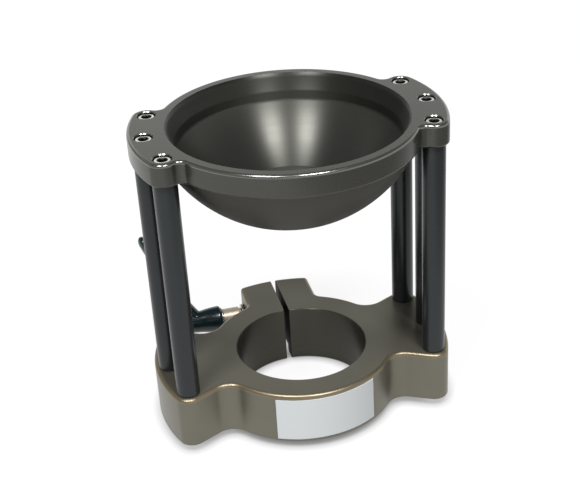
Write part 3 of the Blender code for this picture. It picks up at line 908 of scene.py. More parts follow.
@dataclass
class BowlPlate:
    """The plate with its ears, and the bowl that hangs in it with the seat for a half ball."""

    finishes: Finishes
    places: ScrewPlaces
    ring_radius: float = 79.6 * MM
    ear_radius: float = 95.3 * MM
    ear_corner: float = 9.0 * MM
    ear_corner_angle: float = math.radians(22.3)
    ear_fillet: float = 4.6 * MM
    top_round: float = 2.0 * MM
    under_round: float = 1.6 * MM
    thickness: float = 14.5 * MM
    ball_radius: float = 75.0 * MM
    ball_rise: float = 20.5 * MM
    relief_radius: float = 77.1 * MM
    outer_radius: float = 85.0 * MM
    mouth_radius: float = 73.0 * MM
    seat_top_depth: float = 1.2 * MM
    seat_depth: float = 11.2 * MM
    hole_radius: float = 35.0 * MM
    hole_chamfer: float = 0.8 * MM
    hole: ScrewHole = ScrewHole(7.3 * MM)
    top_z: float = field(init=False)
    under_z: float = field(init=False)
    bowl_under_z: float = field(init=False)
    centre_z: float = field(init=False)
    neck_z: float = field(init=False)

    def __post_init__(self) -> None:
        """Read the heights from the solid, and work out where the seat's groove ends."""
        low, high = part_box("bowl_plate")
        self.top_z = high.z
        self.under_z = high.z - self.thickness
        self.bowl_under_z = low.z
        self.centre_z = high.z + self.ball_rise
        seat_fall = self.ball_rise + self.seat_depth
        neck_radius = math.sqrt(self.ball_radius ** 2 - seat_fall ** 2)
        self.neck_z = self.centre_z - math.sqrt(self.relief_radius ** 2 - neck_radius ** 2)

    def quadrant(self) -> list[Arc]:
        """Lay out the plate's outline from +X to +Y, each corner running into its notch.

        Returns:
            The arcs in order.
        """
        corner_reach = self.ear_radius - self.ear_corner
        fillet_reach = self.ring_radius + self.ear_fillet
        apart = self.ear_corner + self.ear_fillet
        swing = math.acos(
            (fillet_reach ** 2 + corner_reach ** 2 - apart ** 2) / (2 * fillet_reach * corner_reach)
        )
        fillet_angle = self.ear_corner_angle + swing
        corner = polar(corner_reach, self.ear_corner_angle)
        fillet = polar(fillet_reach, fillet_angle)
        touch = math.atan2(fillet[1] - corner[1], fillet[0] - corner[0])
        return [
            Arc(0, 0, self.ear_radius, 0, self.ear_corner_angle, 12),
            Arc(*corner, self.ear_corner, self.ear_corner_angle, touch, 22),
            Arc(*fillet, self.ear_fillet, touch - math.pi, fillet_angle - math.pi, 14),
            Arc(0, 0, self.ring_radius, fillet_angle, math.pi / 2, 36),
        ]

    def ball_arc(self, radius: float, start_z: float, end_z: float, steps: int) -> list[Point]:
        """Lay section points along a ball about the seat's centre.

        Args:
            radius: The ball's radius.
            start_z: Height of the first point.
            end_z: Height of the last point.
            steps: How many steps lie between them.

        Returns:
            The (radius, height) points.
        """
        start, end = (math.acos((self.centre_z - z) / radius) - math.pi / 2 for z in (start_z, end_z))
        return Arc(0.0, self.centre_z, radius, start, end, steps).points()

    def outer_bowl(self) -> Piece:
        """Make the solid ball zone that hangs under the plate.

        Returns:
            The closed object.
        """
        section = self.ball_arc(self.outer_radius, self.bowl_under_z, self.under_z + self.under_round, 26)
        middle_z = (self.under_z + self.top_z) / 2
        section += [(section[-1][0], middle_z), (0.0, middle_z), (0.0, self.bowl_under_z)]
        return spun("bowl_outside", section)

    def inner_cut(self) -> Piece:
        """Make the tool for the seat, the relieved bowl below it and the tie-down hole.

        Returns:
            The closed tool.
        """
        high = self.top_z + CUT_REACH
        low = self.bowl_under_z - CUT_REACH
        wide = self.hole_radius + self.hole_chamfer
        mouth = [(0.0, high), (self.mouth_radius, high), (self.mouth_radius, self.top_z)]
        seat = self.ball_arc(self.ball_radius, self.top_z - self.seat_top_depth, self.top_z - self.seat_depth, 8)
        relief_end_z = self.centre_z - math.sqrt(self.relief_radius ** 2 - self.hole_radius ** 2)
        relief = self.ball_arc(self.relief_radius, self.neck_z, relief_end_z, 28)
        hole = [(self.hole_radius, self.bowl_under_z + self.hole_chamfer), (wide, self.bowl_under_z)]
        return spun("bowl_inside", [*mouth, *seat, *relief, *hole, (wide, low), (0.0, low)])

    def is_edge(self, polygon: Polygon) -> bool:
        """Say whether a face belongs to the rounding of the plate's top edge."""
        high = self.top_z - self.top_round < polygon.center.z < self.top_z - NEAR
        return high and polygon.center.xy.length > self.mouth_radius + MM and not self.is_sunk(polygon)

    def is_sunk(self, polygon: Polygon) -> bool:
        """Say whether a face is inside a screw's counterbore, below its chamfer."""
        low = self.under_z < polygon.center.z < self.top_z - 0.5 * self.hole.sink_chamfer
        return low and self.places.near(polygon, self.hole.sink_radius + 0.5 * self.hole.sink_chamfer)

    def is_chamfer(self, polygon: Polygon) -> bool:
        """Say whether a face is the chamfer round a screw's counterbore."""
        high = self.top_z - self.hole.sink_chamfer < polygon.center.z < self.top_z - NEAR
        return high and self.places.near(polygon, self.hole.sink_radius + self.hole.sink_chamfer)

    def is_outside(self, polygon: Polygon) -> bool:
        """Say whether a face belongs to the bowl's outside, under the plate."""
        return polygon.center.z < self.under_z and polygon.center.xy.dot(polygon.normal.xy) > 0.0

    def is_inside(self, polygon: Polygon) -> bool:
        """Say whether a face is inside the bowl's mouth, where the lathe's marks show."""
        reach = polygon.center.xy.length
        return reach < self.mouth_radius and -polygon.center.xy.dot(polygon.normal.xy) > 0.1 * reach

    def is_seat(self, polygon: Polygon) -> bool:
        """Say whether a face belongs to the seat or the groove under it."""
        return self.is_inside(polygon) and polygon.center.z > self.neck_z

    def is_bowl(self, polygon: Polygon) -> bool:
        """Say whether a face belongs to the relieved bowl under the seat."""
        return self.is_inside(polygon) and polygon.center.z <= self.neck_z

    def build(self) -> None:
        """Model the plate and put it in place of its solid."""
        quadrant = self.quadrant()
        plate = prism("bowl_plate_body", all_round(quadrant, quadrant), self.under_z, self.top_z)
        bevel_edges(plate, at_height(self.top_z), self.top_round, 6)
        bevel_edges(plate, at_height(self.under_z), self.under_round, 5)
        boolean(plate, self.outer_bowl(), "UNION")
        boolean(plate, self.inner_cut(), "DIFFERENCE")
        self.places.drill(plate, self.hole, self.top_z, self.under_z)
        parts = [
            # The top edge and the counterbores' chamfers take a lighter colour: a painted highlight
            (self.finishes[Look.EDGE], self.is_edge),
            (self.finishes[Look.SUNK], self.is_sunk),
            (self.finishes[Look.EDGE], self.is_chamfer),
            (self.finishes[Look.OUTSIDE], self.is_outside),
            (self.finishes[Look.SEAT], self.is_seat),
            (self.finishes[Look.BOWL], self.is_bowl),
        ]
        complete(plate, self.finishes[Look.PLATE], ("adapter", "bowl_plate", "plate_anodised"), parts)


@dataclass
class ClampBase:
    """The split base: a ring with two ears, two lugs, a slit, a bore and a low collar."""

    finishes: Finishes
    places: ScrewPlaces
    ring_radius: float = 60.3 * MM
    ear_radius: float = 95.5 * MM
    ear_angle: float = math.radians(28.5)
    ear_corner: float = 9.0 * MM
    ear_fillet: float = 12.0 * MM
    lug_half_width: float = 24.0 * MM
    lug_radius: float = 85.2 * MM
    lug_corner: float = 2.6 * MM
    lug_fillet: float = 6.5 * MM
    top_round: float = 2.5 * MM
    under_chamfer: float = 0.8 * MM
    under_z: float = 4.9 * MM
    bore_radius: float = 41.9 * MM
    bore_round: float = 0.8 * MM
    collar_radius: float = 52.5 * MM
    collar_chamfer: float = 0.6 * MM
    slit_width: float = 3.3 * MM
    slit_round: float = 0.4 * MM
    sharp_angle: float = math.radians(20)
    hole: ScrewHole = ScrewHole(7.0 * MM)
    stud_radius: float = 4.0 * MM
    stud_y: float = 73.5 * MM
    top_z: float = field(init=False)

    def __post_init__(self) -> None:
        """Read the height from the solid."""
        self.top_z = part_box("base_clamp")[1].z

    def ear_arcs(self) -> tuple[list[Arc], float]:
        """Lay out an ear from +X to its fillet.

        Returns:
            The arcs in order, and the angle where the ring starts.
        """
        reach = self.ear_radius - self.ear_corner
        corner_angle = self.ear_angle - math.asin(self.ear_corner / reach)
        corner = polar(reach, corner_angle)
        side = self.ear_angle + math.pi / 2
        fillet_reach = self.ring_radius + self.ear_fillet
        fillet_angle = self.ear_angle + math.asin(self.ear_fillet / fillet_reach)
        fillet = polar(fillet_reach, fillet_angle)
        arcs = [
            Arc(0, 0, self.ear_radius, 0, corner_angle, 12),
            Arc(*corner, self.ear_corner, corner_angle, side, 18),
            Arc(*fillet, self.ear_fillet, side - math.pi, fillet_angle - math.pi, 18),
        ]
        return arcs, fillet_angle

    def front_quadrant(self) -> list[Arc]:
        """Return the arcs of the outline from +X to +Y, without a lug."""
        arcs, ring_start = self.ear_arcs()
        return [*arcs, Arc(0, 0, self.ring_radius, ring_start, math.pi / 2, 28)]

    def rear_quadrant(self) -> list[Arc]:
        """Lay out the outline from +X to +Y, with half of the lugs.

        Returns:
            The arcs in order.
        """
        arcs, ring_start = self.ear_arcs()
        fillet_x = self.lug_half_width + self.lug_fillet
        fillet_y = math.sqrt((self.ring_radius + self.lug_fillet) ** 2 - fillet_x ** 2)
        fillet_angle = math.atan2(fillet_y, fillet_x)
        corner_x = self.lug_half_width - self.lug_corner
        corner_y = math.sqrt((self.lug_radius - self.lug_corner) ** 2 - corner_x ** 2)
        corner_angle = math.atan2(corner_y, corner_x)
        return [
            *arcs,
            Arc(0, 0, self.ring_radius, ring_start, fillet_angle, 14),
            Arc(fillet_x, fillet_y, self.lug_fillet, fillet_angle - math.pi, -math.pi, 12),
            Arc(corner_x, corner_y, self.lug_corner, 0, corner_angle, 10),
            Arc(0, 0, self.lug_radius, corner_angle, math.pi / 2, 8),
        ]

    def collar(self) -> Piece:
        """Make the low collar under the ring.

        Returns:
            The closed object.
        """
        high = self.under_z + self.collar_chamfer
        foot = [(0.0, 0.0), (self.collar_radius - self.collar_chamfer, 0.0), (self.collar_radius, self.collar_chamfer)]
        return spun("collar", [*foot, (self.collar_radius, high), (0.0, high)])

    def bore_cut(self) -> Piece:
        """Make the tool for the bore, flared at the top by a small rounding.

        Returns:
            The closed tool.
        """
        wide = self.bore_radius + self.bore_round
        high = self.top_z + CUT_REACH
        below = [(0.0, -CUT_REACH), (wide, -CUT_REACH), (wide, 0.0), (self.bore_radius, self.bore_round)]
        flare = Arc(wide, self.top_z - self.bore_round, self.bore_round, math.pi, math.pi / 2, 5).points()
        # The flare's last point is a hair above the top face, so that no edge of the tool lies in the face
        return spun("bore", [*below, *flare[:-1], (wide, self.top_z + 2 * NEAR), (wide, high), (0.0, high)])

    def slit_cut(self) -> Piece:
        """Make the tool for the slit between the lugs.

        Returns:
            The closed tool.
        """
        start = self.bore_radius - CUT_REACH
        end = self.lug_radius + CUT_REACH
        half = self.slit_width / 2
        outline = [(-half, start), (half, start), (half, end), (-half, end)]
        return prism("slit", outline, -CUT_REACH, self.top_z + CUT_REACH)

    def stud_cut(self) -> Piece:
        """Make the tool for the bore across both lugs.

        Returns:
            The closed tool.
        """
        reach = self.lug_half_width + CUT_REACH
        tool = stepped_bar("stud_bore", -reach, (self.stud_radius + GAP, reach))
        middle_z = (self.top_z + self.under_z) / 2
        sideways = Matrix.Translation((0, self.stud_y, middle_z)) @ Matrix.Rotation(math.pi / 2, 4, "Y")
        return settle(tool, sideways)

    def is_slit_edge(self, edge: bmesh.types.BMEdge) -> bool:
        """Say whether an edge bounds a wall of the slit, apart from the stud's bore.

        Args:
            edge: An edge of the base.

        Returns:
            Whether it does.
        """
        half = self.slit_width / 2
        if any(abs(abs(vertex.co.x) - half) > NEAR for vertex in edge.verts):
            return False
        middle = (edge.verts[0].co + edge.verts[1].co) / 2
        from_stud = math.hypot(middle.y - self.stud_y, middle.z - (self.top_z + self.under_z) / 2)
        sharp = edge.is_manifold and edge.calc_face_angle() > self.sharp_angle
        return sharp and from_stud > 2 * self.stud_radius

    def is_slit(self, polygon: Polygon) -> bool:
        """Say whether a face belongs to a wall of the slit."""
        inside = abs(polygon.center.x) < 0.5 * self.slit_width + 0.1 * MM and polygon.center.y > 0
        return inside and abs(polygon.normal.x) > SQUARE

    def is_rounding(self, polygon: Polygon) -> bool:
        """Say whether a face belongs to the rounding of the top edge."""
        high = self.top_z - self.top_round < polygon.center.z < self.top_z - NEAR
        return high and polygon.center.xy.length > self.bore_radius + 2 * self.bore_round

    def is_turned(self, polygon: Polygon) -> bool:
        """Say whether a face belongs to the bore's wall."""
        return polygon.center.xy.length < self.bore_radius + self.bore_round and abs(polygon.normal.z) < SQUARE

    def build(self) -> None:
        """Model the base and put it in place of its solid."""
        outline = all_round(self.rear_quadrant(), self.front_quadrant())
        base = prism("base_clamp_body", outline, self.under_z, self.top_z)
        bevel_edges(base, at_height(self.top_z), self.top_round, 8)
        bevel_edges(base, at_height(self.under_z), self.under_chamfer, 2)
        boolean(base, self.collar(), "UNION")
        boolean(base, self.bore_cut(), "DIFFERENCE")
        self.places.drill(base, self.hole, self.under_z, self.top_z)
        boolean(base, self.slit_cut(), "DIFFERENCE")
        boolean(base, self.stud_cut(), "DIFFERENCE")
        bevel_edges(base, self.is_slit_edge, self.slit_round, 2)
        parts = [
            (self.finishes[Look.BORE], self.is_turned),
            # The top edge's rounding takes a lighter, warmer colour: a painted highlight
            (self.finishes[Look.ROUNDING], self.is_rounding),
            (self.finishes[Look.SUNK], self.is_slit),
        ]
        complete(base, self.finishes[Look.BASE], ("adapter", "base_clamp", "base_anodised"), parts)


@dataclass
class Columns:
    """The six bars between plate and base, each tapped at both ends."""

    finishes: Finishes
    places: ScrewPlaces
    radius: float = 7.2 * MM
    chamfer: float = 0.5 * MM
    hole_radius: float = 3.3 * MM
    tapped_depth: float = 14.0 * MM

    def bar(self, name: str, low: float, high: float) -> Piece:
        """Model one bar about its own axis.

        Args:
            name: The new object's name.
            low: Height of its foot.
            high: Height of its head.

        Returns:
            The bar.
        """
        piece = cylinder(name, FINE_STEPS, self.radius, low, high)
        bevel_edges(piece, lambda edge: at_height(low)(edge) or at_height(high)(edge), self.chamfer, 3)
        for end, inwards in ((low, self.tapped_depth), (high, -self.tapped_depth)):
            with editing(piece, Element.FACES) as mesh:
                pick(piece, mesh.faces, level_face(end))
                bpy.ops.mesh.inset(thickness=self.radius - self.chamfer - self.hole_radius)
                extrude(inwards)
        return piece

    def build(self) -> None:
        """Model the six bars and put them in place of their solids."""
        for ending, place in self.places.each():
            low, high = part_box(f"column_{ending}")
            piece = settle(self.bar(f"column_{ending}_bar", low.z, high.z), place)
            complete(piece, self.finishes[Look.COLUMN], ("adapter", f"column_{ending}", "column_anodised"))


@dataclass(frozen=True)
class Thread:
    """A screw thread with straight flanks."""

    radius: float
    pitch: float
    depth: float
    rows_per_pitch: int

    def divide(self, piece: Piece, length: float) -> None:
        """Cut the edges of a bar that have the thread's length into rows.

        Args:
            piece: The bar.
            length: The thread's length.
        """
        rows = round(length / self.pitch) * self.rows_per_pitch
        with editing(piece, Element.EDGES) as mesh:
            pick(piece, mesh.edges, lambda edge: abs(abs(edge.verts[0].co.z - edge.verts[1].co.z) - length) < MERGE)
            bpy.ops.mesh.subdivide(number_cuts=rows - 1)

    def cut(self, vertex: Vertex, travel: float, left: float, share: float = 1.0) -> None:
        """Draw a vertex in to the bottom of the groove that passes there.

        Args:
            vertex: A vertex on the bar's side.
            travel: How far it lies from the thread's start.
            left: How far it lies from the tapered end.
            share: The share of the depth that is cut there.
        """
        turn = math.atan2(vertex.co.y, vertex.co.x) / TURN
        groove = self.depth * abs(2 * ((travel / self.pitch + turn) % 1.0) - 1)
        taper = self.depth * (1 - left / self.pitch)
        draw_in(vertex, 1 - max(groove, taper) * share / self.radius)


@dataclass
class CapScrew:
    """A socket head cap screw, modelled head up with the head's underside at zero."""

    length: float
    thread_length: float
    thread: Thread = Thread(3.0 * MM, 1.0 * MM, 0.55 * MM, 5)
    run_out: float = 1.5 * MM
    head_radius: float = 5.0 * MM
    head_height: float = 6.0 * MM
    head_round: float = 0.55 * MM
    mouth_radius: float = 3.25 * MM
    knurl_depth: float = 0.14 * MM
    knurl_low: float = 0.7 * MM
    key_half_width: float = 2.5 * MM
    key_depth: float = 3.0 * MM
    key_inset: float = 0.35 * MM
    key_point: float = 0.9 * MM

    def is_socket(self, polygon: Polygon) -> bool:
        """Say whether a face is inside the key socket."""
        centre = polygon.center
        return centre.xy.length < self.mouth_radius and 0.0 < centre.z < self.head_height - 0.05 * MM

    def model(self, name: str) -> Piece:
        """Model the screw.

        Args:
            name: The new object's name.

        Returns:
            The screw about the Z axis.
        """
        piece = cylinder(name, SMALL_STEPS, self.head_radius, 0.0, self.head_height)
        bevel_edges(piece, at_height(self.head_height), self.head_round, 4)
        self.knurl(piece)
        self.draw_shank(piece)
        self.cut_thread(piece)
        self.sink_key(piece)
        return piece

    def knurl(self, piece: Piece) -> None:
        """Press straight grooves into the side of the head.

        Args:
            piece: The screw under work.
        """
        with editing(piece, Element.EDGES) as mesh:
            pick(piece, mesh.edges, lambda edge: abs(edge.verts[0].co.z - edge.verts[1].co.z) > MM)
            bpy.ops.mesh.subdivide(number_cuts=2)
        highest = self.head_height - self.head_round
        for vertex in piece.data.vertices:
            if NEAR < vertex.co.z < highest - NEAR:
                vertex.co.z = self.knurl_low if vertex.co.z < highest / 2 else highest - self.knurl_low
                if round(math.atan2(vertex.co.y, vertex.co.x) / (TURN / SMALL_STEPS)) % 2:
                    draw_in(vertex, 1 - self.knurl_depth / self.head_radius)

    def draw_shank(self, piece: Piece) -> None:
        """Extrude the shank down from the head's underside.

        Args:
            piece: The screw under work.
        """
        with editing(piece, Element.FACES) as mesh:
            pick(piece, mesh.faces, level_face(0.0))
            bpy.ops.mesh.inset(thickness=self.head_radius - self.thread.radius)
            plain = self.length - self.thread_length
            if plain > 0:
                extrude(-plain)
            extrude(-self.thread_length)

    def cut_thread(self, piece: Piece) -> None:
        """Cut a helical thread into the lower stretch of the shank.

        Args:
            piece: The screw under work.
        """
        self.thread.divide(piece, self.thread_length)
        for vertex in piece.data.vertices:
            down = self.thread_length - self.length - vertex.co.z
            if down >= MERGE and vertex.co.xy.length >= self.thread.radius - self.thread.depth:
                self.thread.cut(vertex, down, self.thread_length - down, min(1.0, down / self.run_out))

    def sink_key(self, piece: Piece) -> None:
        """Sink the hexagonal key socket into the head, with a drilled point at its bottom.

        Args:
            piece: The screw under work.
        """
        top = self.head_height
        floor_z = top - self.key_depth
        tool = cylinder("key", 6, self.key_half_width / HEX_FLAT, floor_z, top + self.key_depth)
        with editing(tool, Element.FACES) as mesh:
            pick(tool, mesh.faces, level_face(floor_z))
            bpy.ops.mesh.inset(thickness=self.key_inset)
            extrude(-self.key_point)
            bpy.ops.mesh.merge(type="CENTER")
        boolean(piece, tool, "DIFFERENCE")
        rise = self.mouth_radius - self.key_half_width
        wide = self.mouth_radius + rise
        section = [(0.0, top - rise), (self.key_half_width, top - rise), (wide, top + rise), (0.0, top + rise)]
        boolean(piece, spun("socket_mouth", section, SMALL_STEPS), "DIFFERENCE")


@dataclass
class CapScrews:
    """The twelve screws that hold the columns, six from above and six from below."""

    finishes: Finishes
    places: ScrewPlaces
    head_height: float = 6.0 * MM
    top_length: float = 20.0 * MM
    base_length: float = 40.0 * MM
    base_thread: float = 24.0 * MM
    # Each screw was tightened to an angle of its own
    first_turn: float = math.radians(17.0)
    turn_step: float = math.radians(47.0)

    def build(self) -> None:
        """Model one screw of each length, and put a copy in place of each solid."""
        top_kind = CapScrew(self.top_length, self.top_length)
        base_kind = CapScrew(self.base_length, self.base_thread)
        above = top_kind.model("top_screw_pattern")
        below = base_kind.model("base_screw_pattern")
        for kind, pattern in ((top_kind, above), (base_kind, below)):
            # The sockets' dark finish is partly oil and scale, partly painted shade
            dress(pattern, self.finishes[Look.SCREW], [(self.finishes[Look.SOCKET], kind.is_socket)])
        for index, (ending, place) in enumerate(self.places.each()):
            self.put(above, f"top_screw_{ending}", place, index, False)
            self.put(below, f"base_screw_{ending}", place, index, True)
        bpy.data.objects.remove(above, do_unlink=True)
        bpy.data.objects.remove(below, do_unlink=True)

    def put(self, pattern: Piece, node: str, place: Matrix, index: int, from_below: bool) -> None:
        """Copy a screw to its hole, each turned to its own angle.

        Args:
            pattern: The screw to copy.
            node: The solid that the copy stands for.
            place: Where the hole's axis stands.
            index: Counts the holes.
            from_below: Whether the head is underneath.
        """
        piece = pattern.copy()
        piece.data = pattern.data.copy()
        piece.name = node + "_cap"
        bpy.context.collection.objects.link(piece)
        low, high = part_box(node)
        turn = Matrix.Rotation(self.first_turn + self.turn_step * index, 4, "Z")
        if from_below:
            upright = Matrix.Translation((0, 0, low.z + self.head_height)) @ Matrix.Rotation(math.pi, 4, "X")
        else:
            upright = Matrix.Translation((0, 0, high.z - self.head_height))
        settle(piece, place @ upright @ turn)
        smooth(piece)
        hand_over(piece, "adapter", node, "screw_steel")


@dataclass
class ClampScrew:
    """The clamping lever's stud, with the washer and the sleeve that space it from the lug."""

    finishes: Finishes
    axis: Matrix
    thread: Thread = Thread(4.0 * MM, 1.25 * MM, 0.65 * MM, 6)
    neck_radius: float = 5.1 * MM
    neck_length: float = 1.6 * MM
    hole_round: float = 0.1 * MM
    neck_round: float = 0.15 * MM
    shoulder_round: float = 0.2 * MM
    sleeve_round: float = 0.4 * MM
    washer_round: float = 0.25 * MM

    def stud(self) -> Piece:
        """Model the threaded stud about Z, which points outwards along the clamp's axis.

        Returns:
            The stud.
        """
        low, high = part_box("clamp_stud")
        foot, head = -high.x, -low.x
        piece = cylinder("clamp_stud_thread", SMALL_STEPS, self.thread.radius, foot, head)
        self.thread.divide(piece, head - foot)
        for vertex in piece.data.vertices:
            rise = vertex.co.z - foot
            self.thread.cut(vertex, rise, min(rise, head - vertex.co.z))
        return piece

    def ring(self, name: str, node: str, rim: float, has_neck: bool) -> Piece:
        """Turn a ring to the size of its solid, and put it on the clamp's axis.

        Args:
            name: The new object's name.
            node: The solid that it stands for.
            rim: The rounding of its outer edges.
            has_neck: Whether its foot is narrower.

        Returns:
            The ring.
        """
        low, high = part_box(node)
        foot, head, radius, hole = -high.x, -low.x, (high.y - low.y) / 2, self.thread.radius + GAP
        shoulder = foot + self.neck_length if has_neck else foot
        neck = [(self.neck_radius, foot, self.neck_round), (self.neck_radius, shoulder, self.shoulder_round)]
        side = [*(neck if has_neck else ()), (radius, shoulder, rim), (radius, head, rim)]
        section = softened([(hole, foot, self.hole_round), *side, (hole, head, self.hole_round)])
        return settle(spun(name, section, FINE_STEPS), self.axis)

    def build(self) -> None:
        """Model the three pieces and put them in place of their solids."""
        plated = self.finishes[Look.PLATED]
        complete(settle(self.stud(), self.axis), plated, ("clamp_screw", "clamp_stud", "plated_steel"))
        washer = self.ring("clamp_washer_disc", "clamp_washer", self.washer_round, False)
        complete(washer, plated, ("adapter", "clamp_washer", "plated_steel"))
        sleeve = self.ring("spacer_sleeve_turned", "spacer_sleeve", self.sleeve_round, True)
        complete(sleeve, self.finishes[Look.SLEEVE], ("adapter", "spacer_sleeve", "sleeve_metal"))


@dataclass
class ClampingLever:
    """The lever: a lacquered handle on a toothed insert, drawn onto it by a spring and a screw."""

    finishes: Finishes
    foot: Matrix
    lift: float
    spring_end_x: float
    tilt: float = math.radians(28.0)
    hub_height: float = 26.5 * MM
    hub_foot_radius: float = 9.05 * MM
    hub_head_radius: float = 6.8 * MM
    hub_dome: float = 1.8 * MM
    hub_roll: float = 1.5 * MM
    hub_swell: tuple[Point, ...] = (
        (8.95 * MM, 4.0 * MM),
        (8.72 * MM, 7.0 * MM),
        (8.35 * MM, 10.0 * MM),
        (7.57 * MM, 14.7 * MM),
        (7.05 * MM, 19.5 * MM),
    )
    arm_root: Point = (3.0 * MM, 17.5 * MM)
    arm_lift: Point = (14.5 * MM, 25.0 * MM)
    arm_bend: Point = (40.5 * MM, 38.0 * MM)
    arm_tip: Point = (65.0 * MM, 46.8 * MM)
    arm_half_widths: tuple[float, float, float] = (6.3 * MM, 5.0 * MM, 6.6 * MM)
    arm_half_depths: tuple[float, float, float] = (5.2 * MM, 3.4 * MM, 3.6 * MM)
    arm_tip_round: float = 6.0 * MM
    arm_sides: int = 40
    arm_stations: int = 46
    # Above one, the stations crowd together towards the tip
    arm_crowding: float = 1.7
    arm_end_share: float = 0.12
    teeth: int = 12
    tooth_tip_radius: float = 6.2 * MM
    tooth_root_radius: float = 5.5 * MM
    tooth_height: float = 4.5 * MM
    flange_radius: float = 7.4 * MM
    flange_foot: float = -1.0 * MM
    stud_radius: float = 4.0 * MM
    stud_pocket: float = 1.0 * MM
    pocket_depth: float = 5.5 * MM
    web_top: float = 9.0 * MM
    recess_radius: float = 4.7 * MM
    screw_radius: float = 2.5 * MM
    screw_end: float = 1.3 * MM
    screw_head_radius: float = 4.3 * MM
    screw_head_foot: float = 21.0 * MM
    screw_head_height: float = 2.3 * MM
    screw_key_half_width: float = 1.5 * MM
    screw_key_depth: float = 1.4 * MM
    spring_radius: float = 3.7 * MM
    spring_wire: float = 0.35 * MM
    spring_turns: int = 5
    spring_steps: int = 40
    wire_sides: int = 12
    insert_round: float = 0.25 * MM
    screw_end_round: float = 0.3 * MM
    screw_rim_round: float = 0.15 * MM
    screw_pan_round: float = 0.6 * MM
    voxel: float = 0.32 * MM
    blend_factor: float = 0.6
    blend_passes: int = 10

    def hub(self) -> Piece:
        """Turn the hub, which narrows like a barrel from its rolled foot to its domed head.

        Returns:
            The closed object.
        """
        foot = Arc(self.hub_foot_radius - self.hub_roll, self.hub_roll, self.hub_roll, -math.pi / 2, 0.0, 6)
        dome_x, dome_z = self.hub_head_radius - self.hub_dome, self.hub_height - self.hub_dome
        dome = Arc(dome_x, dome_z, self.hub_dome, 0.0, math.pi / 2, 8)
        section = [(0.0, 0.0), *foot.points(), *self.hub_swell, *dome.points(), (0.0, self.hub_height)]
        return spun("lever_handle_body", section, FINE_STEPS)

    def arm_frame(self, t: float) -> Matrix:
        """Work out where the arm's cross-section stands.

        Args:
            t: The share of the curve from root to tip.

        Returns:
            The place and the turn of the cross-section.
        """
        root, lift, bend, tip = (
            Vector((reach, 0.0, height))
            for reach, height in (self.arm_root, self.arm_lift, self.arm_bend, self.arm_tip)
        )
        s = 1 - t
        point = root * s ** 3 + lift * 3 * t * s ** 2 + bend * 3 * t ** 2 * s + tip * t ** 3
        along = ((lift - root) * s ** 2 + (bend - lift) * 2 * t * s + (tip - bend) * t ** 2).normalized()
        across = Vector((0.0, 1.0, 0.0))
        outwards = along.cross(across)
        frame = Matrix((across, outwards, along)).transposed().to_4x4()
        frame.translation = point
        return frame

    @staticmethod
    def blend(values: tuple[float, float, float], t: float) -> float:
        """Return a smooth value through a start, a middle and an end value."""
        first, middle, last = values
        return first * (1 - t) * (1 - 2 * t) + middle * 4 * t * (1 - t) + last * t * (2 * t - 1)

    def arm(self) -> Piece:
        """Extrude the arm station by station along its curve, to a rounded tip.

        Returns:
            The closed object.
        """
        end = self.arm_frame(1.0).translation
        circle = {"vertices": self.arm_sides, "radius": 1.0, "fill_type": "NGON"}
        piece = added("lever_arm", bpy.ops.mesh.primitive_circle_add, **circle)
        rings = []
        for i in range(self.arm_stations + 1):
            t = 1 - (1 - i / self.arm_stations) ** self.arm_crowding
            frame = self.arm_frame(t)
            covered = 1 - min(1.0, (end - frame.translation).length / self.arm_tip_round)
            fullness = max(self.arm_end_share, math.sqrt(max(0.0, 1 - covered ** 2)))
            width = self.blend(self.arm_half_widths, t) * fullness
            depth = self.blend(self.arm_half_depths, t) * fullness
            rings.append(frame @ Matrix.Diagonal((width, depth, 1.0, 1.0)))
        before = rings[0]
        piece.data.transform(before)
        with editing(piece, Element.FACES) as mesh:
            bpy.ops.mesh.select_all(action="SELECT")
            for ring in rings[1:]:
                extrude(0)
                mesh = bmesh.from_edit_mesh(piece.data)
                move = ring @ before.inverted()
                bmesh.ops.transform(mesh, matrix=move, verts=[v for v in mesh.verts if v.select])
                bmesh.update_edit_mesh(piece.data)
                before = ring
            face_outwards()
        return piece

    def toothed(self, clearance: float, low: float, high: float, name: str) -> Piece:
        """Model a bar with blunt teeth round it.

        Args:
            clearance: How much larger than the insert it is.
            low: Height of its foot.
            high: Height of its head.
            name: The new object's name.

        Returns:
            The toothed bar about Z.
        """
        root = self.tooth_root_radius + clearance
        sides = self.teeth * 4
        piece = cylinder(name, sides, root, low, high)
        share = (self.tooth_tip_radius + clearance) / root
        for vertex in piece.data.vertices:
            if round(math.atan2(vertex.co.y, vertex.co.x) / (TURN / sides)) % 4 in (0, 1):
                draw_in(vertex, share)
        return piece

    def handle(self) -> Piece:
        """Join hub and arm to one smooth body, and cut its pocket and its recess.

        Returns:
            The handle about Z.
        """
        body = self.hub()
        boolean(body, self.arm(), "UNION")
        apply_modifier(body, "REMESH", mode="VOXEL", voxel_size=self.voxel)
        apply_modifier(body, "SMOOTH", factor=self.blend_factor, iterations=self.blend_passes)
        boolean(body, self.toothed(GAP, -CUT_REACH, self.pocket_depth, "pocket"), "DIFFERENCE")
        web = (self.screw_radius + GAP, self.web_top)
        recess = (self.recess_radius, self.hub_height + CUT_REACH)
        boolean(body, stepped_bar("recess", self.pocket_depth - MM, web, recess), "DIFFERENCE")
        return body

    def insert(self) -> Piece:
        """Model the steel insert: a bright collar, teeth above it, and a bore through both.

        Returns:
            The insert about Z.
        """
        corners = [
            (0.0, self.flange_foot, 0.0),
            (self.flange_radius, self.flange_foot, self.insert_round),
            (self.flange_radius, -GAP, self.insert_round),
            (0.0, -GAP, 0.0),
        ]
        piece = spun("lever_insert_steel", softened(corners), FINE_STEPS)
        boolean(piece, self.toothed(0.0, -2 * GAP, self.tooth_height, "teeth"), "UNION")
        bore = (self.stud_radius + GAP, self.stud_pocket)
        hole = (self.screw_radius + GAP, self.tooth_height + CUT_REACH)
        boolean(piece, stepped_bar("insert_bore", self.flange_foot - CUT_REACH, bore, hole), "DIFFERENCE")
        return piece

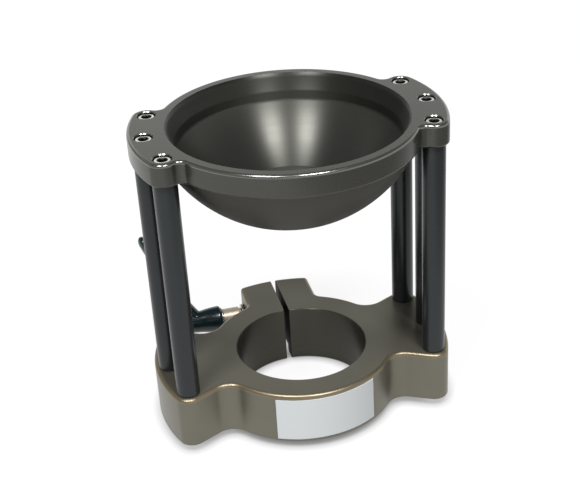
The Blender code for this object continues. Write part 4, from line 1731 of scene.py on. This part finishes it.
    def screw(self) -> Piece:
        """Model the retaining screw with its pan head and key socket.

        Returns:
            The screw about Z.
        """
        head_top = self.screw_head_foot + self.screw_head_height
        corners = [
            (0.0, self.screw_end, 0.0),
            (self.screw_radius, self.screw_end, self.screw_end_round),
            (self.screw_radius, self.screw_head_foot, 0.0),
            (self.screw_head_radius, self.screw_head_foot, self.screw_rim_round),
            (self.screw_head_radius, head_top, self.screw_pan_round),
            (0.0, head_top, 0.0),
        ]
        piece = spun("lever_screw_steel", softened(corners), SMALL_STEPS)
        low, high = head_top - self.screw_key_depth, head_top + self.screw_key_depth
        boolean(piece, cylinder("key", 6, self.screw_key_half_width / HEX_FLAT, low, high), "DIFFERENCE")
        return piece

    def spring(self) -> Piece:
        """Wind the coil spring between the hub's web and the screw's head.

        Returns:
            The spring about Z.
        """
        low = self.web_top + GAP + self.spring_wire
        high = self.screw_head_foot - GAP - self.spring_wire
        circle = {"vertices": self.wire_sides, "radius": self.spring_wire, "fill_type": "NOTHING"}
        upright = Matrix.Translation((self.spring_radius, 0, low)) @ Matrix.Rotation(math.pi / 2, 4, "X")
        piece = settle(added("lever_spring_wire", bpy.ops.mesh.primitive_circle_add, **circle), upright)
        turns, steps = self.spring_turns, self.spring_steps
        coil = {"screw_offset": (high - low) / turns, "iterations": turns, "steps": steps, "render_steps": steps}
        apply_modifier(piece, "SCREW", axis="Z", angle=TURN, use_merge_vertices=False, **coil)
        with editing(piece, Element.EDGES) as mesh:
            pick(piece, mesh.edges, lambda edge: edge.is_boundary)
            bpy.ops.mesh.edge_face_add()
            face_outwards()
        return piece

    def build(self) -> None:
        """Model the four pieces, put them in place of their solids, and give the spring a mesh of its own."""
        pivot = self.foot @ Matrix.Rotation(-self.tilt, 4, "X") @ Matrix.Rotation(-math.pi / 2, 4, "Y")
        handle = settle(self.handle(), pivot)
        complete(handle, self.finishes[Look.LEVER], ("lever", "lever_handle", "lever_black"))
        spring = self.spring()
        for piece, node in ((self.insert(), "lever_insert"), (self.screw(), "lever_screw"), (spring, "lever_spring")):
            settle(piece, pivot)
            complete(piece, self.finishes[Look.PLATED], ("clamp_screw", node, "plated_steel"))
        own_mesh(spring)


@dataclass
class Label:
    """The blank film round the front of the base."""

    finishes: Finishes
    start: float = math.radians(-29.2)
    end: float = math.radians(33.9)
    middle_z: float = 21.8 * MM
    height: float = 29.4 * MM
    back_radius: float = 60.4 * MM
    thickness: float = 0.25 * MM
    slope: float = 0.014
    steps: int = 64

    def build(self) -> None:
        """Model the film and put it in place of its solid."""
        grid = {"x_subdivisions": self.steps, "y_subdivisions": 4, "size": 2.0}
        film = added("label_film", bpy.ops.mesh.primitive_grid_add, **grid)
        middle = (self.start + self.end) / 2
        half_turn = (self.end - self.start) / 2
        for vertex in film.data.vertices:
            angle = middle + half_turn * vertex.co.x
            rise = (angle - middle) * self.back_radius * self.slope
            height = self.middle_z + vertex.co.y * self.height / 2 + rise
            vertex.co = (self.back_radius * math.sin(angle), -self.back_radius * math.cos(angle), height)
        with editing(film, Element.FACES):
            face_outwards()
        facing = film.data.polygons[0]
        outwards = facing.center.xy.dot(facing.normal.xy)
        apply_modifier(film, "SOLIDIFY", thickness=self.thickness, offset=1.0 if outwards > 0 else -1.0)
        complete(film, self.finishes[Look.LABEL], ("adapter", "label", "label_film"))


# Stage


def aimed(name: str, data: bpy.types.ID, place: Vector, view: Vector, roll: float = 0.0) -> Piece:
    """Put a camera or a lamp in the scene.

    Args:
        name: The new object's name.
        data: The camera or the light.
        place: Where it stands.
        view: The direction it looks in.
        roll: Its turn about that direction.

    Returns:
        The new object.
    """
    rig = bpy.data.objects.new(name, data)
    bpy.context.scene.collection.objects.link(rig)
    turn = view.to_track_quat("-Z", "Y").to_matrix().to_4x4() @ Matrix.Rotation(roll, 4, "Z")
    rig.matrix_world = Matrix.Translation(place) @ turn
    return rig


@dataclass
class PhotoCamera:
    """The camera at the photograph's place, for a picture of 580 by 500 pixels."""

    place: tuple[float, float, float] = (-0.14514, -0.68111, 0.49375)
    target: tuple[float, float, float] = (0.01611, -0.00763, 0.09267)
    roll: float = math.radians(-2.64)
    focal_length_mm: float = 78.99
    sensor_width_mm: float = 36.0
    shift: Point = (-0.06, 0.04)

    def build(self) -> None:
        """Add the camera and make it the scene's own."""
        data = bpy.data.cameras.new("photo_camera")
        data.sensor_fit = "HORIZONTAL"
        data.sensor_width = self.sensor_width_mm
        data.lens = self.focal_length_mm
        data.shift_x, data.shift_y = self.shift
        data.clip_start = 0.01
        data.clip_end = 50.0
        place = Vector(self.place)
        view = Vector(self.target) - place
        bpy.context.scene.camera = aimed("photo_camera", data, place, view, self.roll)


@dataclass
class Stage:
    """The pale floor, the two softboxes and the surroundings, which are there mainly to be mirrored."""

    floor_size: float = 8.0
    floor_colour: str = "F4F4F4"
    floor_drop: float = 0.05 * MM
    table_colour: str = "505050"
    # Seen rays get this light of the floor's own, mixed with a share of the lit paper, which holds the shadow
    floor_own_light: float = 1.03
    floor_shadow_share: float = 0.13
    # Within this reach of the object the floor's own light is dimmed by ambient occlusion: painted shade in corners
    # and gaps
    floor_painted_shade_reach: float = 8.0 * MM
    # Out of the photograph's view, to the right and in front, the floor falls into half shade
    shade_towards: tuple[float, float, float] = (0.75, -0.66, 0.0)
    shade_start: float = 0.18
    shade_end: float = 0.42
    shade_light: float = 0.28
    shade_fade_start: float = 0.9
    shade_fade_end: float = 1.7
    left_light: float = 0.58
    right_light: float = 0.02
    # What is mirrored from each height, as (sine of the elevation, sRGB colour), at strength one;
    # the dark ceiling hangs lower on the right
    ceiling_drop: float = 0.06
    ceiling_drop_start_x: float = 0.1
    ceiling_drop_end_x: float = 0.22
    wall: tuple[tuple[float, str], ...] = (
        (0.0, "FFFFFF"),
        (0.44, "FFFFFF"),
        (0.53, "757B7A"),
        (0.66, "585E5E"),
    )
    # Low on the left hangs a dark curtain, as (sine of the elevation, share of the light kept)
    curtain: tuple[tuple[float, float], ...] = ((0.02, 1.0), (0.1, 0.15), (0.34, 0.15), (0.46, 1.0))
    curtain_start_x: float = -0.28
    curtain_end_x: float = -0.44
    lamp_size: float = 0.58
    lamp_distance: float = 2.6
    lamp_power: float = 48.0
    lamp_elevation: float = math.radians(62.0)
    lamp_azimuths: tuple[float, ...] = (math.radians(-45.0), math.radians(17.0))
    aim: tuple[float, float, float] = (0.0, 0.0, 0.12)

    @staticmethod
    def seen_ray(tree: Tree) -> Socket:
        """Tell rays that see, mirror or pass through to the surroundings from the others.

        Args:
            tree: The node tree.

        Returns:
            A socket that is one for those rays and zero for the others.
        """
        path = add_node(tree, "ShaderNodeLightPath", {}, {}).outputs
        mirrored = maths(tree, "MAXIMUM", path["Is Camera Ray"], path["Is Glossy Ray"])
        return maths(tree, "MAXIMUM", mirrored, path["Is Transmission Ray"])

    def floor(self) -> None:
        """Add the floor, which shows near white and keeps the object's shadow."""
        grid = {"x_subdivisions": 4, "y_subdivisions": 4, "size": self.floor_size}
        piece = added("studio_floor", bpy.ops.mesh.primitive_grid_add, **grid)
        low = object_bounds()[0].z
        settle(piece, Matrix.Translation((0, 0, low - self.floor_drop)))
        material = bpy.data.materials.new("matt_paper_floor")
        material.use_nodes = True
        tree = material.node_tree
        tree.nodes.clear()
        seen = self.seen_ray(tree)
        paper = add_node(tree, "ShaderNodeBsdfDiffuse", {"Color": linear(self.floor_colour)}, {}).outputs[0]
        table = add_node(tree, "ShaderNodeBsdfDiffuse", {"Color": linear(self.table_colour)}, {}).outputs[0]
        # Ambient occlusion dims the floor's own light near the object: painted contact shade
        corner = add_node(tree, "ShaderNodeAmbientOcclusion", {"Distance": self.floor_painted_shade_reach}, {})
        place = add_node(tree, "ShaderNodeTexCoord", {}, {}).outputs["Object"]
        product = {"operation": "DOT_PRODUCT", 1: self.shade_towards}
        away = add_node(tree, "ShaderNodeVectorMath", product, {0: place}).outputs["Value"]
        into_shade = {
            "interpolation_type": "SMOOTHSTEP",
            "From Min": self.shade_start,
            "From Max": self.shade_end,
            "To Min": self.floor_own_light,
            "To Max": self.floor_own_light * self.shade_light,
        }
        out_of_shade = {
            "interpolation_type": "SMOOTHSTEP",
            "From Min": self.shade_fade_start,
            "From Max": self.shade_fade_end,
            "To Max": self.floor_own_light,
        }
        shaded = maths(tree, "MAXIMUM", mapped(tree, away, into_shade), mapped(tree, away, out_of_shade))
        glow = maths(tree, "MULTIPLY", shaded, corner.outputs["AO"])
        lit = add_node(tree, "ShaderNodeEmission", {}, {"Strength": glow}).outputs[0]
        mixed = add_node(tree, "ShaderNodeMixShader", {0: self.floor_shadow_share}, {1: lit, 2: paper}).outputs[0]
        whole = add_node(tree, "ShaderNodeMixShader", {}, {0: seen, 1: table, 2: mixed}).outputs[0]
        add_node(tree, "ShaderNodeOutputMaterial", {}, {"Surface": whole})
        piece.data.materials.append(material)
        piece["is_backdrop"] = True

    def lamps(self) -> None:
        """Add the two softboxes, aimed at the bowl."""
        for index, azimuth in enumerate(self.lamp_azimuths):
            data = bpy.data.lights.new(f"softbox_{index}", "AREA")
            data.shape = "SQUARE"
            data.size = self.lamp_size
            data.energy = self.lamp_power
            level = math.cos(self.lamp_elevation)
            towards = Vector((level * math.sin(azimuth), -level * math.cos(azimuth), math.sin(self.lamp_elevation)))
            aimed(data.name, data, Vector(self.aim) + towards * self.lamp_distance, -towards)

    @staticmethod
    def ramp(
        tree: Tree,
        value: Socket,
        stops: Sequence[tuple[float, tuple[float, float, float, float]]],
    ) -> Socket:
        """Turn a value to a colour.

        Args:
            tree: The node tree.
            value: The value, from zero to one.
            stops: (value, colour) pairs in rising order.

        Returns:
            The colour's socket.
        """
        node = add_node(tree, "ShaderNodeValToRGB", {}, {"Fac": value})
        elements = node.color_ramp.elements
        while len(elements) < len(stops):
            elements.new(1.0)
        for element, (at, colour) in zip(elements, stops):
            element.position = at
            element.color = colour
        return node.outputs["Color"]

    def surroundings(self) -> None:
        """Make what is seen and mirrored, and a soft white light, mostly from the left, for the rest."""
        world = bpy.data.worlds.new("white_studio")
        bpy.context.scene.world = world
        world.use_nodes = True
        tree = world.node_tree
        tree.nodes.clear()
        seen = self.seen_ray(tree)
        towards = add_node(tree, "ShaderNodeTexCoord", {}, {}).outputs["Generated"]
        rise = add_node(tree, "ShaderNodeSeparateXYZ", {}, {"Vector": towards}).outputs
        dropped = {
            "From Min": self.ceiling_drop_start_x,
            "From Max": self.ceiling_drop_end_x,
            "To Max": self.ceiling_drop,
        }
        height = maths(tree, "ADD", rise["Z"], mapped(tree, rise["X"], dropped))
        wall = self.ramp(tree, height, [(at, linear(code)) for at, code in self.wall])
        hung = self.ramp(tree, rise["Z"], [(at, (share, share, share, 1.0)) for at, share in self.curtain])
        leftwards = mapped(tree, rise["X"], {"From Min": self.curtain_start_x, "From Max": self.curtain_end_x})
        multiply = {"data_type": "RGBA", "blend_type": "MULTIPLY"}
        curtained = add_node(tree, "ShaderNodeMix", multiply, {0: leftwards, 6: wall, 7: hung}).outputs[2]
        white = {"data_type": "RGBA", 6: (1.0, 1.0, 1.0, 1.0)}
        colour = add_node(tree, "ShaderNodeMix", white, {0: seen, 7: curtained}).outputs[2]
        sideways = {"From Min": -1.0, "To Min": self.left_light, "To Max": self.right_light}
        fill = mapped(tree, rise["X"], sideways)
        strength = add_node(tree, "ShaderNodeMix", {"data_type": "FLOAT", 3: 1.0}, {0: seen, 2: fill}).outputs[0]
        light = add_node(tree, "ShaderNodeBackground", {}, {"Color": colour, "Strength": strength}).outputs[0]
        add_node(tree, "ShaderNodeOutputWorld", {}, {"Surface": light})

    def build(self) -> None:
        """Set the stage."""
        self.floor()
        self.lamps()
        self.surroundings()
        bpy.context.scene.view_settings.view_transform = "Standard"


def joint_named(frame: dict, name: str) -> dict:
    """Find a joint of the record.

    Args:
        name: The joint's name.

    Returns:
        Its entry.
    """
    return next(joint for joint in frame["joints"] if joint["name"] == name)


def main() -> None:
    """Load the solids, dress every piece and light them."""
    logging.basicConfig(level=logging.INFO, format="%(message)s")
    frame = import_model()
    PhotoCamera().build()
    Stage().build()
    finishes = {look: look.value.make() for look in Look}
    places = ScrewPlaces()
    BowlPlate(finishes, places).build()
    ClampBase(finishes, places).build()
    Columns(finishes, places).build()
    CapScrews(finishes, places).build()
    hub_foot = Vector(joint_named(frame, "clamp_turn")["pos_m"])
    middle = Matrix.Translation((0, hub_foot.y, hub_foot.z))
    ClampScrew(finishes, middle @ Matrix.Rotation(-math.pi / 2, 4, "Y")).build()
    lift = joint_named(frame, "lever_lift")
    spring_end_x = lift["deforming_nodes"][0]["fixed_end_x_m"]
    ClampingLever(finishes, Matrix.Translation(hub_foot), lift["range_m"][1], spring_end_x).build()
    Label(finishes).build()


if __name__ == "__main__":
    main()
